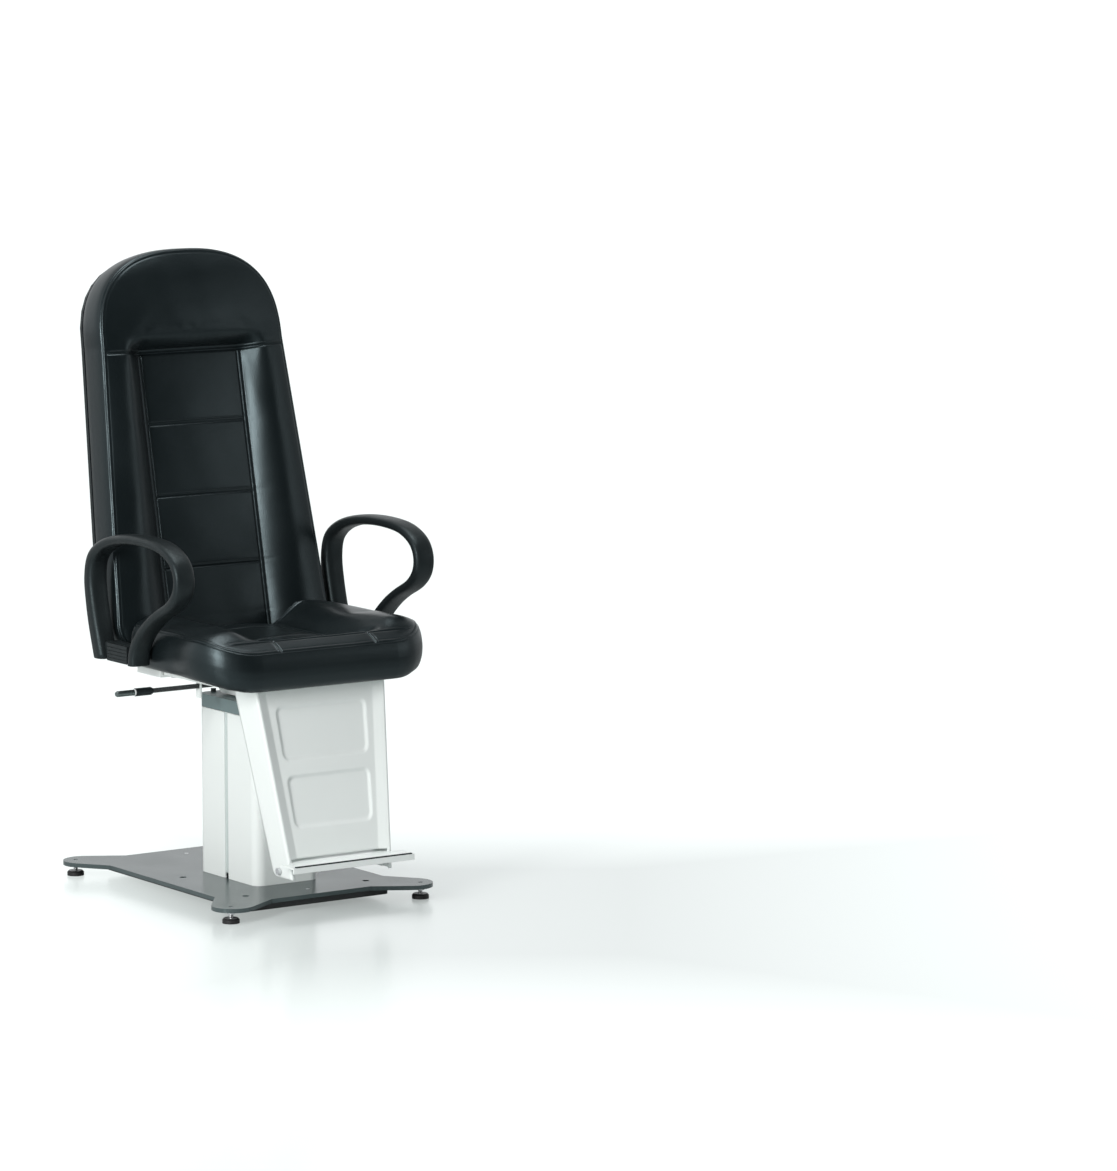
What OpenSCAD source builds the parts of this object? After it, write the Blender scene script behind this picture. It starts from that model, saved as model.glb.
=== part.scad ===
// Ophthalmic examination chair: a padded seat with a tall back, loop arms and a footrest,
// swivelling on a motor driven lifting column that stands on a levelled floor plate.
// Millimetres, +Z up, the patient faces -Y. The origin is on the floor, in the middle of
// the whole outline.

/* [Floor plate] */
// Distance between the feet across the chair
foot_span_x = 414; // [380:2:480]
// Distance between the feet along the chair
foot_span_y = 568; // [530:2:640]
// How far the middle of the feet lies behind the origin
base_shift = 36; // [20:1:50]
// Thickness of the floor plate
base_t = 8; // [6:0.5:12]
// Width of the floor plate between its lobes
waist_w = 368; // [330:2:400]
// Length of the straight sides of the floor plate
waist_len = 380; // [340:2:420]
// Length of the floor plate over its straight ends
end_len = 530; // [500:2:560]
// Width of the straight ends of the floor plate
end_w = 214; // [180:2:240]
// Radius of each lobe of the floor plate
lobe_r = 40; // [34:1:46]
// How far each foot lies outside the middle of its lobe, in X and in Y
lobe_out = 12; // [6:1:16]
// Diameter of the floor bolt holes
bolt_hole_d = 13; // [10:0.5:16]
// Distance between the floor bolts across the chair
bolt_span_x = 263; // [240:1:290]
// Distance between the floor bolts along the chair
bolt_span_y = 224; // [200:1:240]
// Distance of the floor bolts' middle ahead of the feet's middle
bolt_ahead = 101; // [90:1:110]
// Width of the ballast plate
ballast_w = 312; // [290:2:330]
// Length of the ballast plate
ballast_len = 516; // [480:2:530]
// Thickness of the ballast plate
ballast_t = 12; // [8:0.5:14]

/* [Feet] */
// Height of the floor plate's underside over the floor
foot_h = 22; // [20:0.5:30]
// Diameter of a foot pad
pad_d = 32; // [26:1:40]
// Height of a foot pad
pad_h = 9.5; // [7:0.5:12]
// Diameter of a foot's stud
stud_d = 8; // [6:0.5:10]
// Width across the flats of a foot's lock nut
nut_flats = 14; // [12:0.5:17]
// Height of a foot's lock nut
nut_h = 6; // [4:0.5:8]

/* [Column] */
// Width of the column covers
cover_w = 139; // [136:1:150]
// Depth of the column covers
cover_d = 206; // [202:1:220]
// Height of the column covers
cover_h = 315; // [305:1:340]
// Radius of the column covers' corners
cover_r = 20; // [12:1:26]
// Wall of the column covers
cover_t = 2.5; // [2:0.1:3]
// Width of the groove down each side of the column
groove_w = 12; // [8:1:16]
// How far the column's middle lies behind the origin
column_y = -11; // [-20:1:0]
// Height of the grey head of the column
head_h = 24; // [22:1:30]
// Wall of the grey head
head_t = 3; // [2:0.5:4]
// How far the column can rise
lift_travel = 160; // [120:5:165]
// Width of the outer guide tube
outer_tube_w = 100; // [98:1:104]
// Width of the inner guide tube
inner_tube_w = 84; // [80:1:86]
// Wall of both guide tubes
tube_t = 4; // [3:0.5:5]

/* [Lifting drive] */
// Diameter of the lifting screw
screw_d = 16; // [12:1:18]
// Diameter of the piston rod
rod_d = 30; // [28:1:34]
// Diameter of the drive's outer tube
drive_tube_d = 46; // [44:1:50]
// Diameter of the motor
motor_d = 52; // [44:1:54]
// Length of the motor
motor_len = 125; // [100:5:130]

/* [Swivel] */
// Diameter of the swivel spindle
spindle_d = 40; // [34:1:44]
// Wall of the bearing bush on the spindle
bush_t = 3; // [2:0.5:4]
// Outer diameter of the carrier's hub
hub_d = 66; // [60:1:74]
// Thickness of the thrust washer
thrust_t = 3.5; // [2.5:0.5:5]
// Height of the seat carrier
carrier_h = 54.5; // [52:0.5:70]
// Width of the seat carrier
carrier_w = 90; // [84:1:100]
// Sheet thickness of the seat carrier
carrier_t = 4; // [3:0.5:5]

/* [Brake lever] */
// Diameter of the lever rod
lever_d = 9; // [8:0.5:10]
// How far the lever reaches from the column's middle
lever_reach = 308; // [280:2:320]
// Diameter of the lever's grip
grip_d = 11; // [9:0.5:14]
// Length of the lever's grip
grip_len = 38; // [30:1:50]
// Diameter of the lever's sleeve
sleeve_d = 15; // [12:0.5:18]
// Length of the lever's sleeve
sleeve_len = 36; // [28:1:46]
// How far the lever can be lifted, in degrees
lever_lift = 6; // [3:0.5:7]

/* [Seat] */
// Width of the seat at the front
seat_w = 490; // [460:2:510]
// Width of the seat between the arms
seat_waist_w = 474; // [440:2:476]
// How far the front of the seat lies ahead of the origin
seat_front = 270; // [262:1:290]
// How far the back of the seat lies behind the origin
seat_rear = 85; // [80:1:94]
// Radius of the seat's front corners
seat_corner_r = 98; // [70:1:100]
// Height of the rim seam over the seat plate, at the sides
seat_rim_h = 82; // [76:1:90]
// How much the rim seam drops at the front
seat_drop = 22; // [10:1:26]
// Height of the side bolsters over the rim seam
seat_bolster_h = 15; // [8:1:20]
// Depth of the sunken middle panel under the side bolsters
seat_dish = 40; // [25:1:46]
// Half width of the sunken middle panel
seat_panel = 80; // [70:1:100]
// Thickness of the steel seat plate
seat_plate_t = 5; // [4:0.5:6]
// Width of the steel seat plate
seat_plate_w = 406; // [390:2:420]
// Thickness of the seat board
seat_board_t = 8; // [6:0.5:12]

/* [Backrest] */
// Lean of the backrest, in degrees
back_lean = 11.7; // [8:0.1:14]
// How far the backrest's front edge lies behind the origin, at seat height
back_y = 104; // [100:1:110]
// Height of that point over the floor plate's upper side
back_z = 470; // [464:1:480]
// Length of the backrest above that point
back_up = 711; // [650:1:760]
// Length of the backrest below that point
back_down = 46; // [30:1:48]
// Width of the backrest at that point
back_w = 472; // [440:2:476]
// Width of the backrest where its round top starts
back_top_w = 405; // [340:1:420]
// Height of the backrest's round top
back_round = 180; // [100:1:190]
// Thickness of the back cushion at its edge
back_t = 72; // [60:1:80]
// Thickness of the rear shell
back_shell_t = 12; // [8:1:16]
// Depth of the sunken middle panel of the back
back_dish = 22; // [10:1:30]
// Half width of the middle panel of the back
back_panel = 106; // [90:1:115]
// Distance between the cross seams of the middle panel
back_seam_step = 136; // [120:1:140]

/* [Arms] */
// Distance between the middles of the two arms
arm_span = 521; // [521:1:560]
// Width of an arm
arm_w = 41; // [36:1:41]
// Length of the middle line of an arm's loop
arm_len = 320; // [300:2:330]
// Height of the middle line of an arm's loop over its foot
arm_h = 234; // [210:2:250]
// Height of an arm's foot over the seat plate's underside
arm_rise = 23; // [16:1:28]
// How far the middle of an arm's loop lies ahead of the origin
arm_ahead = 21; // [14:1:28]

/* [Footrest] */
// Width of the footrest at its top
leg_top_w = 281; // [260:1:290]
// Width of the footrest at its bottom
leg_bottom_w = 224; // [210:1:240]
// How far the footrest's top edge lies ahead of the origin
leg_y = 234; // [226:1:240]
// Height of that edge under the seat plate
leg_drop = 11; // [6:1:16]
// Lean of the footrest, in degrees
leg_lean = 11.7; // [8:0.1:13]
// Length of the footrest down its slope
leg_len = 320; // [300:1:325]
// How far the side wings reach down below that
wing_low = 28; // [24:1:32]
// Depth of a side wing at the top
wing_top = 75; // [60:1:85]
// Depth of a side wing at the bottom
wing_bottom = 62; // [56:1:68]
// Wall of the footrest
leg_t = 2.5; // [2:0.1:3]
// How far the middle panel lies behind the wings' front edges
leg_recess = 10; // [6:0.5:12]
// Width of the slope between a wing's front edge and the middle panel
leg_slope_w = 27; // [20:1:32]
// Width of the footplate
plate_w = 262; // [250:2:280]
// Depth of the footplate ahead of the wings
plate_d = 46; // [36:1:60]
// Height of the footplate's upper side over the floor
plate_z = 107; // [104:1:110]
// Height of the footplate's front lip
lip_h = 11; // [8:0.5:16]

/* [Hidden] */

// Smoothness of round shapes
$fn = 48;
// How far a cut runs past the face it cuts
over = 1;
// Clearance of a shaft in its bore
fit = 0.05;
// Clearance between soft pieces and what lies beside them
soft_gap = 0.4;
// Gap between the column covers and the head
head_gap = 1;
// Running gap of a guide pad
glide_gap = 0.1;

// Heights that several pieces share
base_top = foot_h + base_t;
cover_top = base_top + cover_h;
head_z = cover_top + head_gap;
head_top = head_z + head_h;
carrier_z = head_top + thrust_t;
seat_plate_z = carrier_z + carrier_h;
board_z = seat_plate_z + seat_plate_t;
cushion_z = board_z + seat_board_t + soft_gap;

// Colours
white_paint = [0.93, 0.94, 0.94];
grey_steel = [0.45, 0.48, 0.49];
dark_steel = [0.16, 0.17, 0.18];
zinc = [0.72, 0.73, 0.74];
head_grey = [0.36, 0.42, 0.43];
black_plastic = [0.07, 0.08, 0.08];
black_leather = [0.06, 0.07, 0.07];
bronze = [0.72, 0.55, 0.32];
nylon = [0.86, 0.85, 0.80];
dark_wood = [0.12, 0.11, 0.10];
grip_grey = [0.30, 0.35, 0.36];
sleeve_grey = [0.75, 0.77, 0.77];
strip_white = [0.82, 0.83, 0.83];

function mix(a, b, k) = a + (b - a) * k;
function clamp01(k) = max(0, min(1, k));
function smooth(k) = let (c = clamp01(k)) c * c * (3 - 2 * c);
function unit(v) = v / norm(v);

// A box with upright rounded edges, standing on z = 0
module round_box(w, d, h, r) {
    translate([-w / 2, r - d / 2, 0]) cube([w, d - 2 * r, h]);
    translate([r - w / 2, -d / 2, 0]) cube([w - 2 * r, d, h]);
    for (x = [-1, 1], y = [-1, 1])
        translate([x * (w / 2 - r), y * (d / 2 - r), 0]) cylinder(r = r, h = h);
}

// A box whose middle in x and y is on the origin, standing on z = 0
module post(w, d, h) {
    translate([-w / 2, -d / 2, 0]) cube([w, d, h]);
}

// A rod along X through the origin, its middle there
module rod_x(r, len) {
    rotate([0, 90, 0]) cylinder(r = r, h = len, center = true);
}

// A rod along Y through the origin, its middle there
module rod_y(r, len) {
    rotate([90, 0, 0]) cylinder(r = r, h = len, center = true);
}

// Floor plate

// Point where a line from p touches the circle about c, on the side given by s
function tangent_point(p, c, r, s) =
    let (d = p - c, l = norm(d), a = acos(r / l) * s, u = d / l)
    c + r * [u.x * cos(a) - u.y * sin(a), u.x * sin(a) + u.y * cos(a)];

lobe_steps = 18;

module foot_places() {
    translate([0, base_shift, 0])
        for (x = [-1, 1], y = [-1, 1])
            translate([x * foot_span_x / 2, y * foot_span_y / 2, 0]) children();
}

module bolt_places() {
    translate([0, base_shift - bolt_ahead, 0])
        for (x = [-1, 1], y = [-1, 1])
            translate([x * bolt_span_x / 2, y * bolt_span_y / 2, 0]) children();
}

module base_outline() {
    side = [waist_w / 2, waist_len / 2];
    tip = [end_w / 2, end_len / 2];
    lobe = [foot_span_x / 2 - lobe_out, foot_span_y / 2 - lobe_out];
    p = tangent_point(side, lobe, lobe_r, 1) - lobe;
    q = tangent_point(tip, lobe, lobe_r, -1) - lobe;
    start = atan2(p.y, p.x);
    end = atan2(q.y, q.x);
    quarter = concat([side], [for (i = [0:lobe_steps]) let (a = mix(start, end, i / lobe_steps))
                         lobe + lobe_r * [cos(a), sin(a)]], [tip]);
    n = len(quarter) - 1;
    polygon([for (k = [[1, 1], [-1, 1], [-1, -1], [1, -1]], i = [0:n])
        let (p = quarter[k.x * k.y > 0 ? i : n - i]) [k.x * p.x, k.y * p.y]]);
}

module base_plate() {
    color(grey_steel)
        difference() {
            translate([0, base_shift, foot_h]) linear_extrude(base_t) base_outline();
            translate([0, 0, foot_h - over]) {
                foot_places() cylinder(d = stud_d + 2 * fit, h = base_t + 2 * over);
                bolt_places() cylinder(d = bolt_hole_d, h = base_t + 2 * over);
                flange_bolt_places() cylinder(d = flange_bolt_d + 2 * fit, h = base_t + 2 * over);
                ballast_screw_places()
                    cylinder(d = ballast_screw_d + 2 * fit, h = base_t + 2 * over);
            }
        }
}

ballast_screw_d = 8;
ballast_screw_head_d = 13;
ballast_screw_inset = 40;
ballast_r = 12;

module ballast_screw_places() {
    translate([0, base_shift, 0])
        for (y = [-1, 1])
            translate([0, y * (ballast_len / 2 - ballast_screw_inset), 0]) children();
}

module ballast_plate() {
    color(dark_steel)
        difference() {
            translate([0, base_shift, foot_h - ballast_t])
                round_box(ballast_w, ballast_len, ballast_t, ballast_r);
            translate([0, 0, foot_h - ballast_t - over]) {
                bolt_places() cylinder(d = bolt_hole_d, h = ballast_t + 2 * over);
                flange_bolt_places() cylinder(d = flange_bolt_d + bolt_clear, h = ballast_t + 2 * over);
                ballast_screw_places() {
                    cylinder(d = ballast_screw_d + 2 * fit, h = ballast_t + 2 * over);
                    cylinder(d = ballast_screw_head_d + bolt_clear, h = ballast_t / 2 + over);
                }
            }
        }
}

// Clearance around bolts that only pass through
bolt_clear = 1;

module ballast_screws() {
    color(zinc)
        ballast_screw_places() translate([0, 0, foot_h - ballast_t / 2]) {
            translate([0, 0, -ballast_screw_head_h])
                cylinder(d = ballast_screw_head_d, h = ballast_screw_head_h);
            cylinder(d = ballast_screw_d, h = ballast_t / 2 + base_t);
        }
}

ballast_screw_head_h = 5;

module lock_nuts() {
    color(zinc)
        foot_places() translate([0, 0, foot_h - nut_h])
            difference() {
                cylinder(d = nut_flats / cos(30), h = nut_h, $fn = 6);
                translate([0, 0, -over]) cylinder(d = stud_d + 2 * fit, h = nut_h + 2 * over);
            }
}

// Width and height of the bevel of a foot pad
pad_edge = 3;

module levelling_foot(x, y) {
    translate([x * foot_span_x / 2, base_shift + y * foot_span_y / 2, 0]) {
        color(black_plastic) {
            cylinder(d = pad_d, h = pad_h - pad_edge);
            translate([0, 0, pad_h - pad_edge])
                cylinder(d1 = pad_d, d2 = pad_d - 2 * pad_edge, h = pad_edge);
        }
        color(zinc) translate([0, 0, pad_h]) cylinder(d = stud_d, h = base_top - pad_h - stud_inset);
    }
}

// How far a stud's end lies under the floor plate's upper side
stud_inset = 1;

module foot_front_left() levelling_foot(1, -1);
module foot_front_right() levelling_foot(-1, -1);
module foot_rear_left() levelling_foot(1, 1);
module foot_rear_right() levelling_foot(-1, 1);

// Column

sleeve_t = 1.5;
sleeve_gap = 2;
sleeve_w = cover_w - 2 * cover_t - 2 * sleeve_gap;
sleeve_deep = cover_d - 2 * cover_t - 2 * sleeve_gap;
sleeve_low = 45;
sleeve_h = head_z - base_top - sleeve_low;
sleeve_r = cover_r - cover_t - sleeve_gap;
flange_gap = 2;
flange_t = 8;
flange_top = base_top + flange_t;
flange_w = sleeve_w - 2 * sleeve_t - 2 * flange_gap;
flange_deep = sleeve_deep - 2 * sleeve_t - 2 * flange_gap;
flange_bolt_d = 8;
flange_bolt_head_d = 13;
flange_bolt_head_h = 8;
flange_bolt_step = 28;
flange_front_bolt_x = 50;
guide_y = column_y + (flange_deep - outer_tube_w) / 2 - flange_gap;
bay_y = (column_y - flange_deep / 2 + guide_y - outer_tube_w / 2) / 2;

module flange_bolt_places() {
    for (x = [-1, 1], y = [-1, 1])
        translate([x * flange_bolt_step, guide_y + y * flange_bolt_step, 0]) children();
    for (x = [-1, 1])
        translate([x * flange_front_bolt_x, column_y - flange_deep / 2 + flange_bolt_head_d, 0]) children();
}

module column_flange() {
    color(zinc)
        translate([0, 0, base_top])
            difference() {
                union() {
                    translate([0, column_y, 0]) round_box(flange_w, flange_deep, flange_t, cover_r / 2);
                    for (x = [-1, 1])
                        translate([drive_x + x * (lug_t / 2 + ear_gap + ear_t / 2), bay_y, flange_t])
                            post(ear_t, lug_w, ear_h);
                }
                translate([0, 0, -over]) flange_bolt_places()
                    cylinder(d = flange_bolt_d + 2 * fit, h = flange_t + 2 * over);
                translate([drive_x, bay_y, flange_t + pin_rise])
                    rod_x(pin_d / 2 + fit, lug_t + 4 * ear_t);
            }
}

module flange_bolts() {
    color(zinc)
        flange_bolt_places() translate([0, 0, foot_h]) {
            cylinder(d = flange_bolt_d, h = base_t + flange_t);
            translate([0, 0, base_t + flange_t]) cylinder(d = flange_bolt_head_d, h = flange_bolt_head_h);
        }
}

tube_top_gap = 20;
outer_tube_top = cover_top - tube_top_gap;

module square_tube(w, h) {
    difference() {
        post(w, w, h);
        translate([0, 0, -over]) post(w - 2 * tube_t, w - 2 * tube_t, h + 2 * over);
    }
}

module outer_guide_tube() {
    color(zinc)
        translate([0, guide_y, flange_top]) square_tube(outer_tube_w, outer_tube_top - flange_top);
}

glide_w = 60;
glide_h = 38;
glide_t = (outer_tube_w - inner_tube_w) / 2 - tube_t - glide_gap;

// Four guide pads around a tube, r from its middle to the pads' inner side
module glides(r) {
    for (a = [0:90:270])
        rotate([0, 0, a]) translate([r + glide_t / 2, 0, 0]) post(glide_t, glide_w, glide_h);
}

glide_edge = 4;

module upper_glides() {
    color(nylon)
        translate([0, guide_y, outer_tube_top - glide_h - glide_edge])
            glides(outer_tube_w / 2 - tube_t - glide_t);
}

module lower_glides() {
    color(nylon)
        translate([0, guide_y, inner_tube_z + glide_edge]) glides(inner_tube_w / 2);
}

// Gap under the inner guide tube, over the heads of the flange bolts
inner_tube_gap = 4;
inner_tube_z = flange_top + flange_bolt_head_h + inner_tube_gap;

module inner_guide_tube() {
    color(zinc)
        translate([0, guide_y, inner_tube_z]) square_tube(inner_tube_w, head_z - inner_tube_z);
}

module inner_sleeve() {
    color(sleeve_grey)
        translate([0, column_y, base_top + sleeve_low])
            difference() {
                round_box(sleeve_w, sleeve_deep, sleeve_h, sleeve_r);
                translate([0, 0, -over])
                    round_box(sleeve_w - 2 * sleeve_t, sleeve_deep - 2 * sleeve_t,
                              sleeve_h + 2 * over, sleeve_r - sleeve_t);
            }
}

// Middle of the groove behind the column's middle
groove_back = 2;
groove_y = column_y + groove_back;

module cover_shell() {
    translate([0, column_y, base_top])
        difference() {
            round_box(cover_w, cover_d, cover_h, cover_r);
            translate([0, 0, -over])
                round_box(cover_w - 2 * cover_t, cover_d - 2 * cover_t,
                          cover_h + 2 * over, cover_r - cover_t);
        }
}

module front_cover() {
    color(white_paint)
        difference() {
            cover_shell();
            translate([0, groove_y - groove_w / 2 + cover_d / 2, base_top - over])
                post(cover_w + 2 * over, cover_d, cover_h + 2 * over);
        }
}

gland_d = 16;
gland_z = 25;

module rear_cover() {
    color(white_paint)
        difference() {
            cover_shell();
            translate([0, groove_y + groove_w / 2 - cover_d / 2, base_top - over])
                post(cover_w + 2 * over, cover_d, cover_h + 2 * over);
            translate([0, column_y + cover_d / 2, base_top + gland_z])
                rod_y(gland_d / 2 + fit, 4 * cover_t);
        }
}

strip_t = 1.2;
strip_side = 6;
strip_slit = 10;

module groove_strips() {
    color(strip_white)
        for (x = [-1, 1])
            translate([x * (cover_w / 2 - cover_t - strip_t / 2), groove_y, base_top + strip_slit])
                post(strip_t, groove_w + 2 * strip_side, cover_h - strip_slit);
}

gland_out = 14;
gland_in = 6;
gland_collar = 3;
cable_d = 7;

module cable_gland() {
    color(black_plastic)
        translate([0, column_y + cover_d / 2, base_top + gland_z])
            difference() {
                union() {
                    translate([0, (gland_out - gland_in) / 2, 0]) rod_y(gland_d / 2, gland_out + gland_in);
                    translate([0, gland_out / 4 + fit, 0]) rod_y(gland_d / 2 + gland_collar, gland_out / 2);
                }
                rod_y(cable_d / 2, 4 * gland_out);
            }
}

box_lift = 8;
box_w = 50;
box_deep = 54;
box_h = 84;

module control_box() {
    color(black_plastic)
        translate([motor_x, guide_y - (outer_tube_w + box_deep) / 2, gearbox_top + motor_len + box_lift])
            post(box_w, box_deep, box_h);
}

// Lifting drive

drive_x = 20;
motor_gap = 2;
motor_x = drive_x - (drive_tube_d + motor_d) / 2 - motor_gap;
lug_t = 16;
lug_w = 22;
ear_t = 6;
ear_h = 20;
ear_gap = 0.2;
pin_d = 8;
pin_rise = 11;
gearbox_h = 36;
gearbox_wall = 3;
gearbox_gap = 2;
gearbox_z = flange_top + gearbox_gap + ear_h;
gearbox_top = gearbox_z + gearbox_h;

module drive_gearbox() {
    color(black_plastic)
        difference() {
            union() {
                translate([(motor_x - motor_d / 2 + drive_x + drive_tube_d / 2) / 2, bay_y, gearbox_z])
                    post(drive_x - motor_x + (motor_d + drive_tube_d) / 2,
                         motor_d + 2 * gearbox_wall, gearbox_h);
                translate([drive_x, bay_y, flange_top + gearbox_gap])
                    post(lug_t, lug_w, ear_h + over);
            }
            translate([drive_x, bay_y, flange_top + pin_rise]) rod_x(pin_d / 2 + fit, 2 * lug_t);
        }
}

module drive_motor() {
    color(dark_steel)
        translate([motor_x, bay_y, gearbox_top]) {
            cylinder(d = motor_d, h = motor_len - motor_cap_h);
            translate([0, 0, motor_len - motor_cap_h]) cylinder(d = motor_cap_d, h = motor_cap_h);
        }
}

motor_cap_d = 22;
motor_cap_h = 5;
drive_tube_t = 3;
// Length of the drive's outer tube beyond the travel
drive_tube_spare = 44;
drive_tube_h = lift_travel + drive_tube_spare;
drive_tube_top = gearbox_top + drive_tube_h;

module drive_tube() {
    color(zinc)
        translate([drive_x, bay_y, gearbox_top])
            difference() {
                cylinder(d = drive_tube_d, h = drive_tube_h);
                translate([0, 0, -over])
                    cylinder(d = drive_tube_d - 2 * drive_tube_t, h = drive_tube_h + 2 * over);
            }
}

drive_bush_h = 10;

module drive_bush() {
    color(nylon)
        translate([drive_x, bay_y, drive_tube_top - drive_bush_h])
            difference() {
                cylinder(d = drive_tube_d - 2 * drive_tube_t - 2 * fit, h = drive_bush_h);
                translate([0, 0, -over]) cylinder(d = rod_d + 2 * fit, h = drive_bush_h + 2 * over);
            }
}

pin_len = lug_t + 2 * ear_t + 4 * ear_gap;

module drive_lower_pin() {
    color(zinc) translate([drive_x, bay_y, flange_top + pin_rise]) rod_x(pin_d / 2, pin_len);
}

screw_end = 2;
nut_low = 8;
nut_len = 24;
drive_nut_z = gearbox_top + nut_low;

module lifting_screw() {
    color(zinc)
        translate([drive_x, bay_y, gearbox_top]) {
            translate([0, 0, fit]) cylinder(d = screw_d, h = nut_low + nut_len + lift_travel + screw_end);
            translate([0, 0, fit]) cylinder(d = screw_d + 2 * screw_end, h = nut_low / 2);
            translate([0, 0, nut_low + nut_len + lift_travel + screw_end + fit])
                post(screw_d / 2, screw_d / 2, screw_end);
        }
}

module drive_nut() {
    color(bronze)
        translate([drive_x, bay_y, drive_nut_z])
            difference() {
                cylinder(d = drive_tube_d - 2 * drive_tube_t - 2 * glide_gap, h = nut_len);
                translate([0, 0, -over]) cylinder(d = screw_d + 2 * fit, h = nut_len + 2 * over);
            }
}

screw_clear = 3;
rod_bore = screw_d + 2 * screw_clear;
rod_eye = 30;
head_ear_h = 28;
head_pin_drop = 15;

module piston_rod() {
    color(zinc)
        translate([drive_x, bay_y, 0])
            difference() {
                union() {
                    translate([0, 0, drive_nut_z + nut_len])
                        cylinder(d = rod_d, h = head_z - rod_eye - drive_nut_z - nut_len);
                    translate([0, 0, head_z - rod_eye]) post(lug_t, lug_w, rod_eye - gearbox_gap);
                }
                translate([0, 0, drive_nut_z + nut_len - over])
                    cylinder(d = rod_bore, h = head_z - rod_eye - drive_nut_z - nut_len - screw_end + over);
                translate([0, 0, head_z - head_pin_drop]) rod_x(pin_d / 2 + fit, 2 * lug_t);
            }
}

module drive_upper_pin() {
    color(zinc) translate([drive_x, bay_y, head_z - head_pin_drop]) rod_x(pin_d / 2, pin_len);
}

// Head of the column

plate_gap = 0.3;
head_plate_t = 8;
cap_in_w = cover_w - 2 * head_t;
cap_in_deep = cover_d - 2 * head_t;

module head_plate() {
    color(zinc)
        difference() {
            union() {
                translate([0, column_y, head_z])
                    round_box(cap_in_w - 2 * plate_gap, cap_in_deep - 2 * plate_gap,
                              head_plate_t, cover_r - head_t);
                for (x = [-1, 1])
                    translate([drive_x + x * (lug_t / 2 + ear_gap + ear_t / 2), bay_y, head_z - head_ear_h])
                        post(ear_t, lug_w, head_ear_h + over);
            }
            translate([drive_x, bay_y, head_z - head_pin_drop])
                rod_x(pin_d / 2 + fit, lug_t + 4 * ear_t);
        }
}

shoulder_step = 10;
shoulder_d = spindle_d + 2 * shoulder_step;
spindle_flange_step = 24;
spindle_flange_d = spindle_d + 2 * spindle_flange_step;
spindle_flange_t = 6;

module column_head() {
    color(head_grey)
        translate([0, column_y, head_z])
            difference() {
                round_box(cover_w, cover_d, head_h, cover_r);
                translate([0, 0, -over])
                    round_box(cap_in_w, cap_in_deep, head_h - head_t + over, cover_r - head_t);
                cylinder(d = shoulder_d + 2 * plate_gap, h = head_h + over);
            }
}

spindle_top_gap = 10;
spindle_h = carrier_h - spindle_top_gap;
spindle_nut_h = 6;
spindle_nut_wall = 9;

module swivel_spindle() {
    color(zinc)
        translate([0, column_y, head_z + head_plate_t]) {
            cylinder(d = spindle_flange_d, h = spindle_flange_t);
            cylinder(d = shoulder_d, h = head_h - head_plate_t);
            cylinder(d = spindle_d, h = head_h - head_plate_t + thrust_t + spindle_h);
        }
}

module spindle_nut() {
    color(zinc)
        translate([0, column_y, carrier_z + spindle_h - spindle_nut_h])
            difference() {
                cylinder(d = spindle_d + 2 * spindle_nut_wall, h = spindle_nut_h);
                translate([0, 0, -over]) cylinder(d = spindle_d + 2 * fit, h = spindle_nut_h + 2 * over);
            }
}

stop_x = 40;
stop_d = 10;
stop_h = 6;
stop_inset = 9;

module swivel_stops() {
    color(black_plastic)
        for (x = [-1, 1])
            translate([x * stop_x, column_y + cover_d / 2 - stop_inset, head_top])
                cylinder(d = stop_d, h = stop_h);
}

// Seat carrier and swivel brake

hub_h = spindle_h - spindle_nut_h - 2 * plate_gap;

module thrust_washer() {
    color(bronze)
        translate([0, column_y, head_top])
            difference() {
                cylinder(d = shoulder_d, h = thrust_t);
                translate([0, 0, -over]) cylinder(d = spindle_d + 2 * fit, h = thrust_t + 2 * over);
            }
}

module spindle_bush() {
    color(bronze)
        translate([0, column_y, carrier_z])
            difference() {
                cylinder(d = spindle_d + 2 * bush_t, h = hub_h);
                translate([0, 0, -over]) cylinder(d = spindle_d + 2 * fit, h = hub_h + 2 * over);
                translate([-spindle_d / 2, lever_back, lever_h]) rod_x(shoe_d / 2 + fit, 4 * bush_t);
            }
}

// The lever's axis over the carrier's underside, and behind the column's middle
lever_h = 27.5;
lever_back = -3;
shoe_d = 10;
cam_r = 11;
cam_w = 12;
lever_pin_x = carrier_w / 2 + cam_r + 2 * plate_gap;
lever_pin_d = 6;
lever_ear_t = 4;
lever_ear_h = 22;
carrier_front = 139;
carrier_rear = 71;
carrier_foot_rear = 60;
carrier_foot_front = 110;
carrier_floor_t = 6;
// Play around the spindle nut in the carrier's upper flange
access_gap = 1;

// Side view of a carrier wall, in y and z from the column's middle and the carrier's underside
module carrier_side() {
    polygon([[-carrier_foot_front, 0], [carrier_foot_rear, 0], [carrier_rear, carrier_floor_t * 2],
             [carrier_rear, carrier_h], [-carrier_front, carrier_h],
             [-carrier_front, carrier_floor_t * 2]]);
}

module carrier_wall(x) {
    translate([x - carrier_t / 2, 0, 0]) rotate([90, 0, 90]) linear_extrude(carrier_t) carrier_side();
}

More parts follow.
